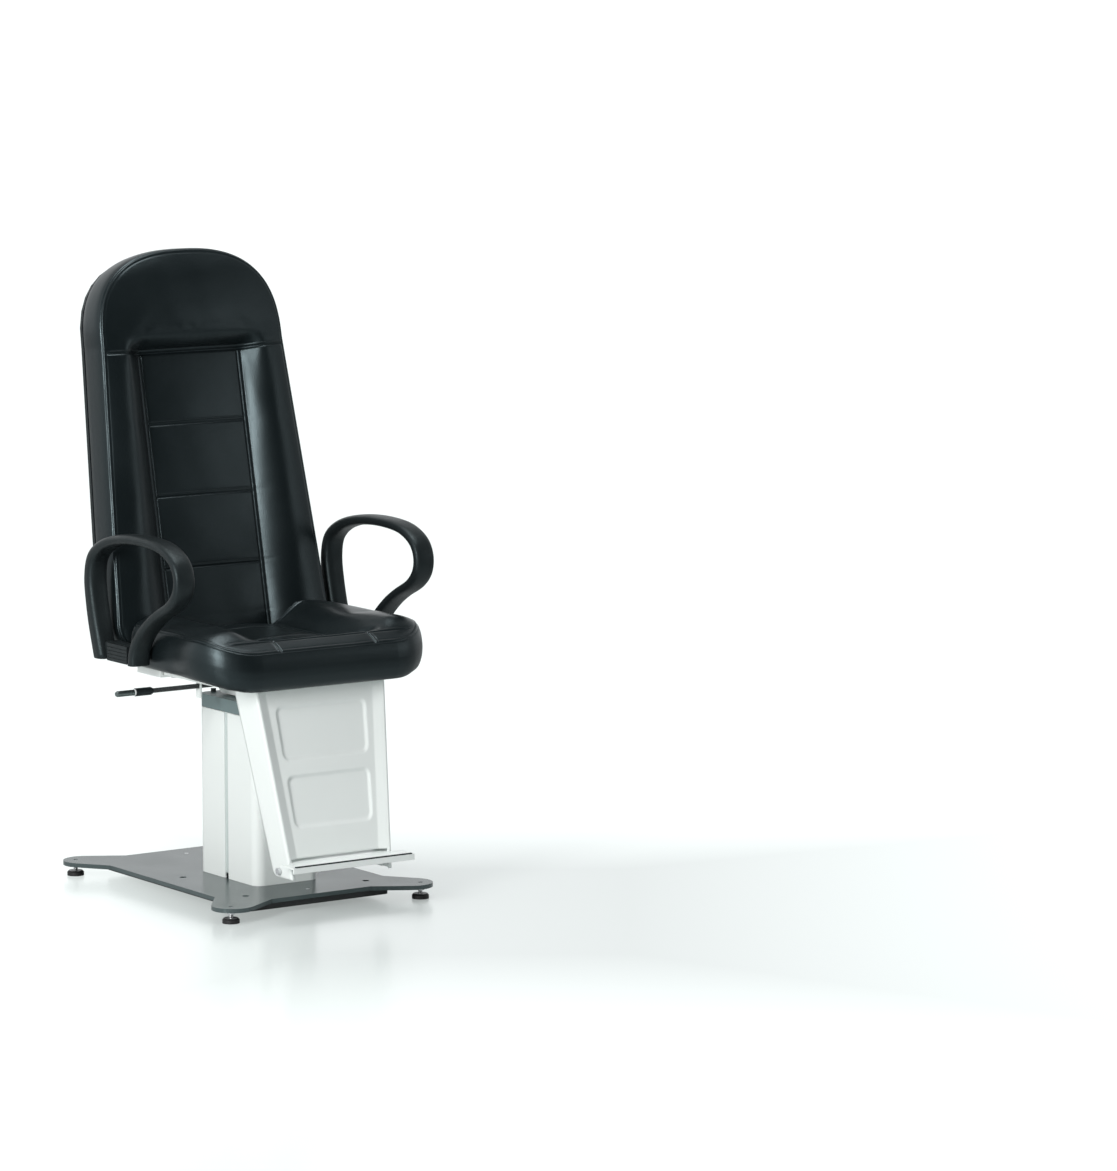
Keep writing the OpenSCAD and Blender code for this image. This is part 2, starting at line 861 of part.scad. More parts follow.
module seat_carrier() {
    color(white_paint)
        translate([0, column_y, carrier_z])
            difference() {
                union() {
                    for (x = [-1, 1]) carrier_wall(x * (carrier_w - carrier_t) / 2);
                    translate([0, (carrier_foot_rear - carrier_foot_front) / 2, 0])
                        post(carrier_w, carrier_foot_rear + carrier_foot_front, carrier_floor_t);
                    translate([0, (carrier_rear - carrier_front) / 2, carrier_h - carrier_t])
                        post(carrier_w, carrier_rear + carrier_front, carrier_t);
                    cylinder(d = hub_d, h = hub_h);
                    for (y = [-1, 1])
                        translate([-(carrier_w + lever_ear_x) / 2,
                                   lever_back + y * (cam_w / 2 + ear_gap + lever_ear_t / 2),
                                   lever_h - lever_ear_h / 2])
                            post(lever_ear_x + over, lever_ear_t, lever_ear_h);
                }
                translate([0, 0, -over])
                    cylinder(d = spindle_d + 2 * bush_t + 2 * fit, h = hub_h + 2 * over);
                translate([0, 0, carrier_h - carrier_t - over])
                    cylinder(r = spindle_d / 2 + spindle_nut_wall + access_gap, h = carrier_t + 2 * over);
                translate([-carrier_w / 2, lever_back, lever_h])
                    rod_x(shoe_d / 2 + fit, carrier_w - spindle_d);
                translate([-lever_pin_x, lever_back, lever_h])
                    rod_y(lever_pin_d / 2 + fit, cam_w + 4 * lever_ear_t);
                translate([0, -column_y, -carrier_z]) seat_bolt_holes();
            }
}

lever_ear_x = 2 * cam_r + 4 * plate_gap;
shoe_out = lever_pin_x - cam_r - fit;
shoe_in = spindle_d / 2 + plate_gap;

module brake_shoe() {
    color(bronze)
        translate([-(shoe_out + shoe_in) / 2, column_y + lever_back, carrier_z + lever_h])
            rod_x(shoe_d / 2, shoe_out - shoe_in);
}

module lever_pin() {
    color(zinc)
        translate([-lever_pin_x, column_y + lever_back, carrier_z + lever_h])
            rod_y(lever_pin_d / 2, cam_w + 2 * ear_gap + 2 * lever_ear_t);
}

// Places along the lever, measured from the column's middle
grip_x = lever_reach - grip_len;
ring_len = 2.5;
sleeve_x = grip_x - ring_len - sleeve_len;
sleeve_step = 3;
ring_step = 0.75;
ring_d = grip_d + 2 * ring_step;

module on_lever(x) {
    translate([-x, column_y + lever_back, carrier_z + lever_h]) rotate([0, -90, 0]) children();
}

module lever_rod() {
    color(black_plastic)
        difference() {
            union() {
                on_lever(lever_pin_x + cam_r / 2)
                    cylinder(d = lever_d, h = sleeve_x - lever_pin_x - cam_r / 2);
                on_lever(lever_pin_x) rotate([90, 0, 0]) cylinder(r = cam_r, h = cam_w, center = true);
            }
            on_lever(lever_pin_x) rotate([90, 0, 0])
                cylinder(d = lever_pin_d + 2 * fit, h = cam_w + 2 * over, center = true);
        }
}

module lever_sleeve() {
    color(black_plastic) {
        on_lever(sleeve_x) cylinder(d = sleeve_d - sleeve_step, h = sleeve_step);
        on_lever(sleeve_x + sleeve_step) cylinder(d = sleeve_d, h = sleeve_len - sleeve_step);
    }
}

module lever_ring() {
    color(nylon) on_lever(grip_x - ring_len) cylinder(d = ring_d, h = ring_len);
}

module lever_grip() {
    color(grip_grey) {
        on_lever(grip_x) cylinder(d = grip_d, h = grip_len - sleeve_step);
        on_lever(lever_reach - sleeve_step) cylinder(d1 = grip_d, d2 = grip_d - sleeve_step, h = sleeve_step);
    }
}

// Seat

// Width of a sewn channel to each side of its seam
channel = 5;
// How far the rim seam of the seat lies inside its widest outline
rim_in = 8;
// How far the seat cushion's lower edge is drawn in at the sides and at the front, and its wall
lip_side = 24;
lip_front = 9;
lip_t = 5;

tab_x = 130;
tab_w = 16;
tab_t = 3;
tab_drop = 49;
tab_clear = 0.4;
tab_slot_w = lever_d + 2 * tab_clear;
tab_slot_h = tab_slot_w + (tab_x - lever_pin_x) * sin(lever_lift) + 2 * tab_clear;
seat_plate_front = 246;
seat_plate_rear = 96;
seat_plate_r = 58;

module seat_plate() {
    color(white_paint)
        difference() {
            union() {
                translate([0, (seat_plate_rear - seat_plate_front) / 2, seat_plate_z])
                    round_box(seat_plate_w, seat_plate_rear + seat_plate_front, seat_plate_t, seat_plate_r);
                translate([-tab_x, column_y + lever_back, seat_plate_z - tab_drop])
                    post(tab_t, tab_w, tab_drop + over);
            }
            translate([-tab_x, column_y + lever_back, carrier_z + lever_h - tab_slot_w / 2])
                post(tab_t + 2 * over, tab_slot_w, tab_slot_h);
            seat_bolt_holes();
        }
}

seat_bolt_d = 8;
seat_bolt_head_d = 13;
seat_bolt_head_h = 5;
carrier_bolt_x = 28;
bracket_bolt_x = 170;
bracket_bolt_step = 50;
upright_bolt_front = 30;
upright_bolt_step = 42;
leg_bolt_front = 215;
leg_bolt_step = 40;

// Place of each bolt under the seat plate, and the thickness that it holds there
function seat_bolt_places() = [
    [carrier_bolt_x, column_y - carrier_foot_front, carrier_t],
    [carrier_bolt_x, column_y + carrier_foot_rear, carrier_t],
    [bracket_bolt_x, bracket_y - bracket_bolt_step / 2, bracket_t],
    [bracket_bolt_x, bracket_y + bracket_bolt_step / 2, bracket_t],
    [upright_x, upright_bolt_front, upright_t],
    [upright_x, upright_bolt_front + upright_bolt_step, upright_t],
    [leg_bolt_x, -leg_bolt_front, leg_t],
    [leg_bolt_x, leg_bolt_step - leg_bolt_front, leg_t]];

module seat_bolt_holes() {
    for (x = [-1, 1], p = seat_bolt_places())
        translate([x * p.x, p.y, seat_plate_z - p.z - over])
            cylinder(d = seat_bolt_d + 2 * fit, h = p.z + seat_plate_t + 2 * over);
}

module seat_bolts() {
    color(zinc)
        for (x = [-1, 1], p = seat_bolt_places())
            translate([x * p.x, p.y, seat_plate_z - p.z]) {
                cylinder(d = seat_bolt_d, h = p.z + seat_plate_t);
                translate([0, 0, -seat_bolt_head_h])
                    cylinder(d = seat_bolt_head_d, h = seat_bolt_head_h);
            }
}

board_inset = 4;
board_gap = 1;
board_front = seat_plate_front - board_inset;
board_rear = seat_rear - rim_in - lip_side - lip_t - board_gap;

module seat_board() {
    color(dark_wood)
        translate([0, (board_rear - board_front) / 2, board_z])
            round_box(seat_plate_w - 2 * board_inset, board_rear + board_front,
                      seat_board_t, seat_plate_r - board_inset);
}

// Quilted solids

// Outline of a grid of points, walked once round
function rim(g) = let (m = len(g) - 1, n = len(g[0]) - 1)
    concat([for (i = [0:n - 1]) g[0][i]], [for (j = [0:m - 1]) g[j][n]],
           [for (i = [n:-1:1]) g[m][i]], [for (j = [m:-1:1]) g[j][0]]);

// Outward direction at each point of an outline, in its plane
function outward(r) = let (k = len(r))
    [for (i = [0:k - 1]) let (d = unit(r[(i + 1) % k] - r[(i + k - 1) % k])) [d.y, -d.x]];

// A closed solid from a grid of top points, the rings below its outline and a flat underside
module quilt(grid, rings) {
    m = len(grid) - 1;
    n = len(grid[0]) - 1;
    around = 2 * (m + n);
    ids = rim([for (j = [0:m]) [for (i = [0:n]) j * (n + 1) + i]]);
    first = (m + 1) * (n + 1);
    last = rings[len(rings) - 1];
    loops = concat([ids], [for (k = [0:len(rings) - 1]) [for (i = [0:around - 1]) first + k * around + i]]);
    bottom = loops[len(loops) - 1];
    middle = first + len(rings) * around;
    points = concat([for (row = grid) each row], [for (ring = rings) each ring],
                    [[0, (last[0].y + last[n + m].y) / 2, last[0].z]]);
    tops = [for (j = [0:m - 1], i = [0:n - 1]) let (a = j * (n + 1) + i, d = a + n + 1)
        each [[a, d, d + 1], [a, d + 1, a + 1]]];
    sides = [for (k = [0:len(loops) - 2], i = [0:around - 1])
        let (u = loops[k], l = loops[k + 1], e = (i + 1) % around)
        each [[u[i], u[e], l[e]], [u[i], l[e], l[i]]]];
    floor = [for (i = [0:around - 1]) [bottom[i], bottom[(i + 1) % around], middle]];
    polyhedron(points, concat(tops, sides, floor));
}

// Seat cushion

seat_edge = seat_corner_r - rim_in;
seat_arc_y = seat_edge - seat_front + rim_in;
seat_rim_z = board_z + seat_rim_h;
seat_border = 38;
seat_flare = 22;
seat_seam_steps = [164, 301];
seat_taper = 90;
seat_rear_r = 36;
seat_rear_y = seat_rear - rim_in - seat_rear_r;
seat_channel_depth = 3;
seat_crown = 5;
border_crown = 4;
// Places of the bolsters' crests and of the border seam's ends, as shares of the way from the
// middle panel's seam to the rim
seat_crest_share = 0.6;
seat_border_share = 0.9;

function frontness(y) = clamp01((seat_arc_y - y) / seat_edge);
function rearness(y) = clamp01((y - seat_rear_y) / seat_rear_r);
function arc_drop(f) = 1 - sqrt(max(0, 1 - f * f));
function seat_half(y) =
    mix(seat_w, seat_waist_w, smooth((y - seat_arc_y) / seat_taper)) / 2 - rim_in
        - seat_edge * arc_drop(frontness(y)) - seat_rear_r * arc_drop(rearness(y));
function seat_rim(y) = seat_rim_z - seat_drop * pow(frontness(y), 2);
function panel_half(y) =
    seat_panel + seat_flare * smooth((seat_border + seat_taper - seat_front - y) / seat_taper);
function groove(d) = max(0, 1 - abs(d) / channel);

function seat_height(x, y) =
    let (c = panel_half(y), w = seat_half(y), z = seat_rim(y), t = (abs(x) - c) / (w - c),
         crest = seat_rim_z + seat_bolster_h, low = crest - seat_dish,
         past = pow((t - seat_crest_share) / (1 - seat_crest_share), 2),
         across = t < 0 ? low + seat_crown * (1 - pow(x / c, 2))
             : t < seat_crest_share ? mix(low, crest, smooth(t / seat_crest_share))
             : mix(crest, z, past),
         flat = t < seat_crest_share ? 1 : 1 - past,
         front = z + border_crown * flat * smooth((y + seat_front - rim_in) / seat_border),
         body = mix(front, across, smooth((y + seat_front - seat_border) / seat_border)),
         seams = max([for (s = seat_seam_steps) groove(y + seat_front - s)]),
         border = t < seat_border_share ? groove(y + seat_front - seat_border) : 0,
         sewn = max(groove(abs(x) - c), border, t < 0 ? seams : 0))
    body - seat_channel_depth * sewn;

// Places across a row of the grid, from the middle to the rim, c being half the middle panel
station_shares = [0.3, 0.6, 0.82, 0.94, 1];
function side_stations(c, w) = let (k = min(channel, (w - c) / 5))
    concat([c / 2, c - k, c, c + k], [for (share = station_shares) mix(c, w, share)]);
function stations(c, w) = let (s = side_stations(c, w), n = len(s) - 1)
    concat([for (i = [n:-1:0]) -s[i]], [0], s);

seat_rows = concat(
    [for (a = [90, 66, 44, 24]) seat_arc_y - seat_edge * sin(a)],
    [for (d = [-channel, 0, channel]) seat_border - seat_front + d],
    [for (s = seat_seam_steps, d = [-channel, 0, channel]) s - seat_front + d]);
seat_mid_rows = concat(
    [seat_arc_y, (seat_arc_y + seat_seam_steps[0] - seat_front) / 2,
     (seat_seam_steps[0] + seat_seam_steps[1]) / 2 - seat_front],
    [for (a = [0, 35, 62, 90]) seat_rear_y + seat_rear_r * sin(a)]);

function sorted(v) = len(v) <= 1 ? v
    : let (p = v[floor(len(v) / 2)])
      concat(sorted([for (a = v) if (a < p) a]), [p], sorted([for (a = v) if (a > p) a]));

seat_grid = [for (y = sorted(concat(seat_rows, seat_mid_rows)))
    [for (x = stations(panel_half(y), seat_half(y))) [x, y, seat_height(x, y)]]];

// Shares of the way from the rim seam down to the lower edge and of the bulge, of each ring
seat_ring_shares = [[0.22, 0.7], [0.45, 1], [0.75, 0.6], [1, -1]];
lip_drop = 15;

function seat_ring(share, out) = let (r = rim(seat_grid), o = outward(r))
    [for (i = [0:len(r) - 1])
        let (f = pow(max(0, -o[i].y), 2), low = board_z + soft_gap - lip_drop * f,
             e = out < 0 ? -mix(lip_side, lip_front, f) : out * rim_in)
        [r[i].x + e * o[i].x, r[i].y + e * o[i].y, mix(r[i].z, low, share)]];
function seat_under(grow) = let (r = rim(seat_grid), o = outward(r))
    [for (i = [0:len(r) - 1])
        let (e = -mix(lip_side, lip_front, pow(max(0, -o[i].y), 2)) - grow)
        [r[i].x + e * o[i].x, r[i].y + e * o[i].y, cushion_z]];

module seat_cushion() {
    color(black_leather)
        difference() {
            quilt(seat_grid, concat([for (s = seat_ring_shares) seat_ring(s[0], s[1])],
                                    [seat_under(lip_t)]));
            for (x = [-1, 1]) {
                translate([x * (bracket_x + bracket_t / 2), bracket_y, seat_plate_z])
                    post(bracket_t + 2 * soft_gap, bracket_w + 2 * soft_gap, bracket_h + soft_gap);
                translate([x * seat_waist_w / 2, bracket_y, arm_z + arm_boss_low - soft_gap])
                    post(seat_waist_w - 2 * bracket_x, arm_boss_w + 2 * soft_gap,
                         arm_boss_h + 2 * soft_gap);
            }
        }
}

// Arms

bracket_t = 5;
bracket_gap = 2;
bracket_x = seat_plate_w / 2 + bracket_gap;
bracket_w = 84;
bracket_h = 60;
bracket_reach = 55;
bracket_y = 32;
arm_z = seat_plate_z + arm_rise;
arm_t = 20;
arm_in = (arm_span - arm_w) / 2;
arm_front = -arm_ahead - arm_len / 2;
arm_boss_low = 6;
arm_boss_h = 22;
arm_boss_w = 70;
arm_bolt_step = 44;
arm_bolt_d = 8;
arm_bolt_head_d = 13;
arm_bolt_head_h = 7;
arm_foot_h = 33;
arm_foot_t = 29;
arm_foot_cover_t = 6;
rib_count = 4;
rib_cut = 1.5;

module arm_bolt_places() {
    for (y = [-1, 1])
        translate([0, bracket_y + y * arm_bolt_step / 2, arm_z + arm_boss_low + arm_boss_h / 2]) children();
}

module arm_brackets() {
    color(white_paint)
        for (x = [-1, 1]) difference() {
            union() {
                translate([x * (bracket_x + bracket_t / 2), bracket_y, seat_plate_z - bracket_t])
                    post(bracket_t, bracket_w, bracket_h + bracket_t);
                translate([x * (bracket_x + bracket_t - bracket_reach / 2), bracket_y,
                           seat_plate_z - bracket_t])
                    post(bracket_reach, bracket_w, bracket_t);
            }
            arm_bolt_places() translate([x * bracket_x, 0, 0])
                rod_x(arm_bolt_d / 2 + fit, 4 * bracket_t);
            seat_bolt_holes();
        }
}

module arm_bolts() {
    color(zinc)
        for (x = [-1, 1]) arm_bolt_places() {
            translate([x * (bracket_x + arm_in + arm_foot_t - arm_bolt_head_h) / 2, 0, 0])
                rod_x(arm_bolt_d / 2, arm_in + arm_foot_t - arm_bolt_head_h - bracket_x);
            translate([x * (arm_in + arm_foot_t - arm_bolt_head_h / 2), 0, 0])
                rod_x(arm_bolt_head_d / 2, arm_bolt_head_h);
        }
}

// Middle line of an arm's loop: shares of its length and height, and of its thickness
arm_shares = [
    [0.890, 0.000, 1.75], [0.950, 0.252, 1.70], [0.987, 0.466, 1.60], [1.000, 0.637, 1.50],
    [0.969, 0.795, 1.30], [0.865, 0.902, 1.10], [0.702, 0.970, 1.00], [0.489, 1.000, 0.95],
    [0.270, 0.991, 0.95], [0.138, 0.953, 0.95], [0.041, 0.876, 1.00], [0.000, 0.765, 1.05],
    [0.016, 0.645, 1.05], [0.091, 0.543, 1.00], [0.229, 0.449, 0.95], [0.332, 0.363, 0.95],
    [0.433, 0.248, 1.00], [0.498, 0.124, 1.15], [0.514, 0.000, 1.30]];
arm_steps = 3;
arm_sides = 12;
arm_square = 3;

// Smooth curve through points, k of the way from p[i] to p[i + 1]
function spline(p, i, k) =
    let (n = len(p) - 1, a = p[max(0, i - 1)], b = p[i], c = p[min(n, i + 1)], d = p[min(n, i + 2)])
    (2 * b + (c - a) * k + (2 * a - 5 * b + 4 * c - d) * k * k
        + (3 * b - a - 3 * c + d) * k * k * k) / 2;

arm_line = [for (i = [0:len(arm_shares) - 2], s = [0:arm_steps - 1])
                spline(arm_shares, i, s / arm_steps),
            arm_shares[len(arm_shares) - 1]];

function power(v, e) = sign(v) * pow(abs(v), e);

function arm_ring(i) =
    let (n = len(arm_line) - 1, p = arm_line[i],
         a = arm_line[max(0, i - 1)], b = arm_line[min(n, i + 1)],
         d = i == 0 || i == n ? [0, b.y - a.y] : [(b.x - a.x) * arm_len, (b.y - a.y) * arm_h],
         u = unit(d), c = [arm_front + p.x * arm_len, arm_z + p.y * arm_h])
    [for (s = [0:arm_sides - 1])
        let (g = 360 * (s + 0.5) / arm_sides, x = power(cos(g), 2 / arm_square) * arm_w / 2,
             o = power(sin(g), 2 / arm_square) * p.z * arm_t / 2)
        [x, c.x + o * u.y, c.y - o * u.x]];

module arm_loop() {
    rings = [for (i = [0:len(arm_line) - 1]) arm_ring(i)];
    n = len(rings);
    walls = [for (i = [0:n - 2], s = [0:arm_sides - 1])
        let (a = i * arm_sides + s, b = i * arm_sides + (s + 1) % arm_sides)
        each [[b, a, b + arm_sides], [b + arm_sides, a, a + arm_sides]]];
    polyhedron([for (r = rings) each r],
               concat(walls, [[for (s = [0:arm_sides - 1]) s]],
                      [[for (s = [arm_sides - 1:-1:0]) (n - 1) * arm_sides + s]]));
}

arm_foot_shares = [0.51, 0.86];
arm_foot_front = arm_front + arm_foot_shares[0] * arm_len;
arm_foot_rear = arm_front + arm_foot_shares[1] * arm_len;

module arm() {
    color(black_plastic)
        difference() {
            union() {
                translate([arm_in + arm_w / 2, 0, 0]) arm_loop();
                translate([arm_in + fit, arm_foot_front, arm_z])
                    cube([arm_foot_t - fit, arm_foot_rear - arm_foot_front, arm_foot_h]);
                translate([(bracket_x + bracket_t + arm_in + over) / 2, bracket_y, arm_z + arm_boss_low])
                    post(arm_in - bracket_x - bracket_t + over, arm_boss_w, arm_boss_h);
            }
            arm_bolt_places() {
                translate([arm_in, 0, 0]) rod_x(arm_bolt_d / 2 + fit, 4 * arm_w);
                translate([arm_in + arm_foot_t, 0, 0]) rod_x(arm_bolt_head_d / 2 + fit, 2 * arm_bolt_head_h);
            }
        }
}

module arm_left() arm();
module arm_right() mirror([1, 0, 0]) arm();

module arm_foot_covers() {
    color(black_plastic)
        for (m = [0, 1]) mirror([m, 0, 0])
            difference() {
                translate([arm_in + arm_foot_t, arm_foot_front + arm_t, arm_z])
                    cube([arm_foot_cover_t, arm_foot_rear - arm_foot_front - 2 * arm_t, arm_foot_h]);
                for (i = [1:rib_count])
                    translate([arm_in + arm_foot_t + arm_foot_cover_t - rib_cut, arm_foot_front,
                               arm_z + i * arm_foot_h / (rib_count + 1) - rib_cut / 2])
                        cube([rib_cut + over, arm_foot_rear - arm_foot_front, rib_cut]);
            }
}

// Backrest

back_z0 = base_top + back_z;
back_start = back_up - back_round;
// Power of the round top's outline: 2 is an ellipse, more is squarer
back_power = 2.6;
back_foot_r = 50;
back_channel_depth = 4;
back_crown = 5;
back_bolster = 10;
// Widest half width of the middle panel, as a share of the back's half width
back_panel_share = 0.55;
// Places of the bolsters' crests and of the head seam's ends, as shares of the way from the
// middle panel's seam to the rim
back_crest_share = 0.5;
head_border_share = 0.95;
head_pad = 14;
head_pad_h = 197;
head_seam = back_up - head_pad_h;
head_blend = 34;
// How far the rim seam of the back lies inside its widest outline
back_in = 4;

module in_back() {
    translate([0, back_y, back_z0]) rotate([-back_lean, 0, 0]) children();
}

// Half width of the back at height v along it, with its outline drawn in by e
function back_half(v, e) =
    let (s = mix(back_w, back_top_w, v / back_start) / 2 - e,
         f = clamp01((v - back_start) / (back_round - e)),
         b = clamp01((back_foot_r - back_down - v) / (back_foot_r - e)))
    v > back_start ? (back_top_w / 2 - e) * pow(max(0, 1 - pow(f, back_power)), 1 / back_power)
        : s - (back_foot_r - e) * arc_drop(b);
function back_rim(v) = back_half(v, back_in);
function top_rise(e, k) = (back_round - e) * pow(k, 2 / back_power);
function back_panel_half(v) = min(back_panel, back_panel_share * back_rim(v));
back_seams = [for (i = [0:3]) head_seam - i * back_seam_step];

function back_height(x, v) =
    let (c = back_panel_half(v), w = back_rim(v), t = (abs(x) - c) / (w - c),
         side = t < 0 ? -back_dish + back_crown * (1 - pow(x / c, 2))
             : t < back_crest_share ? mix(-back_dish, back_bolster, smooth(t / back_crest_share))
             : mix(back_bolster, 0, pow((t - back_crest_share) / (1 - back_crest_share), 2)),
         top = head_pad * sqrt(max(0, 1 - pow(x / w, 2))) * smooth(3 * (back_up - v) / back_round),
         body = mix(side, top, smooth((v - head_seam) / head_blend)),
         seams = max([for (s = back_seams) groove(v - s)]),
         head = t < head_border_share ? groove(v - head_seam) / 2 : 0,
         sewn = v > head_seam + channel ? 0 : max(groove(abs(x) - c), t < 0 ? seams : head))
    body - back_channel_depth * sewn;

back_rows = sorted(concat(
    [for (a = [85, 60, 30]) back_foot_r - back_down - (back_foot_r - back_in) * sin(a)],
    [for (s = back_seams, d = [-channel, 0, channel]) s + d],
    [for (i = [1:3]) head_seam - (i - 0.5) * back_seam_step],
    [head_seam + head_blend],
    [for (a = [10, 20, 34, 50, 66, 78, 86]) back_start + top_rise(back_in, sin(a))]));
back_grid = [for (v = back_rows)
    [for (x = stations(back_panel_half(v), back_rim(v))) [x, v, back_height(x, v)]]];

// Shares of the thickness behind the rim seam and of the bulge, of each ring of the back
back_ring_shares = [[0.16, 0.75], [0.5, 1], [0.9, 0.3], [1, -1]];

module back_cushion() {
    color(black_leather)
        in_back() rotate([90, 0, 0])
            quilt(back_grid, [for (s = back_ring_shares) let (r = rim(back_grid), o = outward(r))
                [for (i = [0:len(r) - 1]) let (e = s[1] * back_in)
                    [r[i].x + e * o[i].x, r[i].y + e * o[i].y, -s[0] * back_t]]]);
}

back_shell_in = 5;
back_shell_step = 6;
back_shell_edge_share = 0.7;
back_shell_angles = [90:-10:0];

// A flat layer of the rear shell, its outline drawn in by e
module back_shell_layer(e, t) {
    low = back_foot_r - back_down;
    side = concat([for (a = back_shell_angles) low - (back_foot_r - e) * sin(a)],
                  [for (a = back_shell_angles) back_start + top_rise(e, cos(a))]);
    right = [for (v = side) [back_half(v, e), v]];
    translate([0, back_t + soft_gap + t, 0]) rotate([90, 0, 0]) linear_extrude(t)
        polygon(concat(right, [for (i = [len(right) - 2:-1:0]) [-right[i].x, right[i].y]]));
}

module back_shell() {
    color(black_plastic)
        in_back() difference() {
            union() {
                back_shell_layer(back_shell_in, back_shell_t * back_shell_edge_share);
                back_shell_layer(back_shell_in + back_shell_step, back_shell_t);
            }
            back_bolt_places() rod_y(back_bolt_d / 2 + fit, 2 * back_bolt_len);
        }
}

upright_x = 90;
upright_w = 40;
upright_t = 8;
upright_h = 250;
upright_reach = 168;
back_deep = back_t + soft_gap + back_shell_t;

// Y of the plane at a depth behind the back's front plane, at height z
function behind_back(depth, z) =
    back_y + depth / cos(back_lean) + (z - back_z0) * tan(back_lean);

// Heights of the back bolts along an upright
back_bolt_shares = [0.45, 0.9];

// Places on the uprights' rear face
module back_bolt_places() {
    for (x = [-1, 1], share = back_bolt_shares)
        translate([x * upright_x, back_deep + upright_t, share * upright_h]) children();
}

back_bolt_d = 8;
back_bolt_head_d = 13;
back_bolt_head_h = 5;
back_bolt_len = 14;

// Side view of an upright: a flat bar bent from under the seat plate up along the back
module upright_side() {
    low = seat_plate_z - upright_t;
    rear = back_deep + upright_t;
    high = upright_h - upright_t;
    front = behind_back(back_deep, seat_plate_z) + upright_t - upright_reach;
    polygon([[front, low], [behind_back(rear, low), low],
             [back_y + rear * cos(back_lean) + high * sin(back_lean),
              back_z0 - rear * sin(back_lean) + high * cos(back_lean)],
             [back_y + back_deep * cos(back_lean) + high * sin(back_lean),
              back_z0 - back_deep * sin(back_lean) + high * cos(back_lean)],
             [behind_back(back_deep, seat_plate_z), seat_plate_z], [front, seat_plate_z]]);
}

module back_uprights() {
    color(dark_steel)
        difference() {
            for (x = [-1, 1])
                translate([x * upright_x - upright_w / 2, 0, 0])
                    rotate([90, 0, 90]) linear_extrude(upright_w) upright_side();
            in_back() back_bolt_places() rod_y(back_bolt_d / 2 + fit, 2 * back_bolt_len);
            seat_bolt_holes();
        }
}

module back_bolts() {
    color(zinc)
        in_back() back_bolt_places() {
            translate([0, -back_bolt_len / 2, 0]) rod_y(back_bolt_d / 2, back_bolt_len);
            translate([0, back_bolt_head_h / 2, 0]) rod_y(back_bolt_head_d / 2, back_bolt_head_h);
        }
}

// Footrest

leg_z = seat_plate_z - leg_drop;
leg_skew = atan((leg_top_w - leg_bottom_w) / 2 / leg_len);
leg_flange_w = 22;
leg_bolt_x = leg_top_w / 2 - leg_flange_w / 2;
wing_corner_r = 12;
// Height over the footplate at which the middle panel ends
panel_gap = 5;
pocket_deep = 4;
pocket_corner = 8;
// Lower and upper ends of the two sunken fields, as shares of the footrest's length
pocket_shares = [[0.40, 0.10], [0.79, 0.50]];
// Half width of the sunken fields, as a share of the footrest's half width there
pocket_side_share = 0.70;

module in_leg() {
    translate([0, -leg_y, leg_z]) rotate([-leg_lean, 0, 0]) children();
}

// Height over the footrest's top edge at which depth t ends, just under the seat plate
function leg_top(t) = (leg_drop - leg_top_gap + t * sin(leg_lean)) / cos(leg_lean);
leg_top_gap = 0.4;
function leg_half(down) = mix(leg_top_w, leg_bottom_w, down / leg_len) / 2;

module wing_outline() {
    low = -leg_len - wing_low;
    rear = low + wing_bottom * tan(leg_lean);
    r = wing_corner_r;
    difference() {
        polygon([[0, low], [wing_bottom, rear], [wing_top, 0], [wing_top, leg_top(wing_top)],
                 [0, leg_top(0)]]);
        translate([wing_bottom - r, rear + r]) difference() {
            translate([0, -2 * r]) square([2 * r, 2 * r]);
            circle(r = r);
        }
    }
}

// One side of the footrest: a wing and the slope from its front edge to the middle panel
module leg_side() {
    length = leg_len - panel_low + leg_top(0);
    translate([leg_top_w / 2, 0, 0]) rotate([0, leg_skew, 0]) {
        translate([-leg_t, 0, 0]) rotate([90, 0, 90]) linear_extrude(leg_t) wing_outline();
        translate([0, 0, panel_low - leg_len]) linear_extrude(length)
            polygon([[0, 0], [-leg_slope_w, leg_recess], [-leg_slope_w, leg_recess + leg_t],
                     [-leg_t, leg_t]]);
    }
}

// How far over the footrest's nominal lower end its middle panel stops
panel_low = (plate_z + panel_gap - leg_z) / cos(leg_lean) + leg_len;

module panel_outline(top, low, side) {
    polygon([[-leg_half(-top) * side, top], [leg_half(-top) * side, top],
             [leg_half(-low) * side, low], [-leg_half(-low) * side, low]]);
}

// A sunken field with bevelled corners, let out all round by e, of depth t from y = 0
module pocket(shares, e, t) {
    high = e - shares[1] * leg_len;
    low = -e - shares[0] * leg_len;
    w = e + leg_half(-high) * pocket_side_share;
    v = e + leg_half(-low) * pocket_side_share;
    c = pocket_corner;
    translate([0, t, 0]) rotate([90, 0, 0]) linear_extrude(t)
        polygon([[c - w, high], [w - c, high], [w, high - c], [v, low + c],
                 [v - c, low], [c - v, low], [-v, low + c], [-w, high - c]]);
}

module footrest_panel() {
    color(white_paint)
        difference() {
            union() {
                in_leg() {
                    leg_side();
                    mirror([1, 0, 0]) leg_side();
                    translate([0, leg_recess + leg_t, 0]) rotate([90, 0, 0]) linear_extrude(leg_t)
                        panel_outline(leg_top(leg_recess), panel_low - leg_len, leg_panel_share);
                    for (shares = pocket_shares)
                        translate([0, leg_recess, 0]) pocket(shares, leg_t, pocket_deep + leg_t);
                }
                for (x = [-1, 1])
                    translate([x * leg_bolt_x, -leg_y + wing_top / 2, seat_plate_z - leg_t])
                        post(leg_flange_w, wing_top, leg_t);
            }
            in_leg() for (shares = pocket_shares) translate([0, leg_recess - over, 0])
                pocket(shares, 0, pocket_deep + over);
            seat_bolt_holes();
            plate_bolt_places() rod_x(plate_bolt_d / 2 + fit, 2 * leg_flange_w);
        }
}

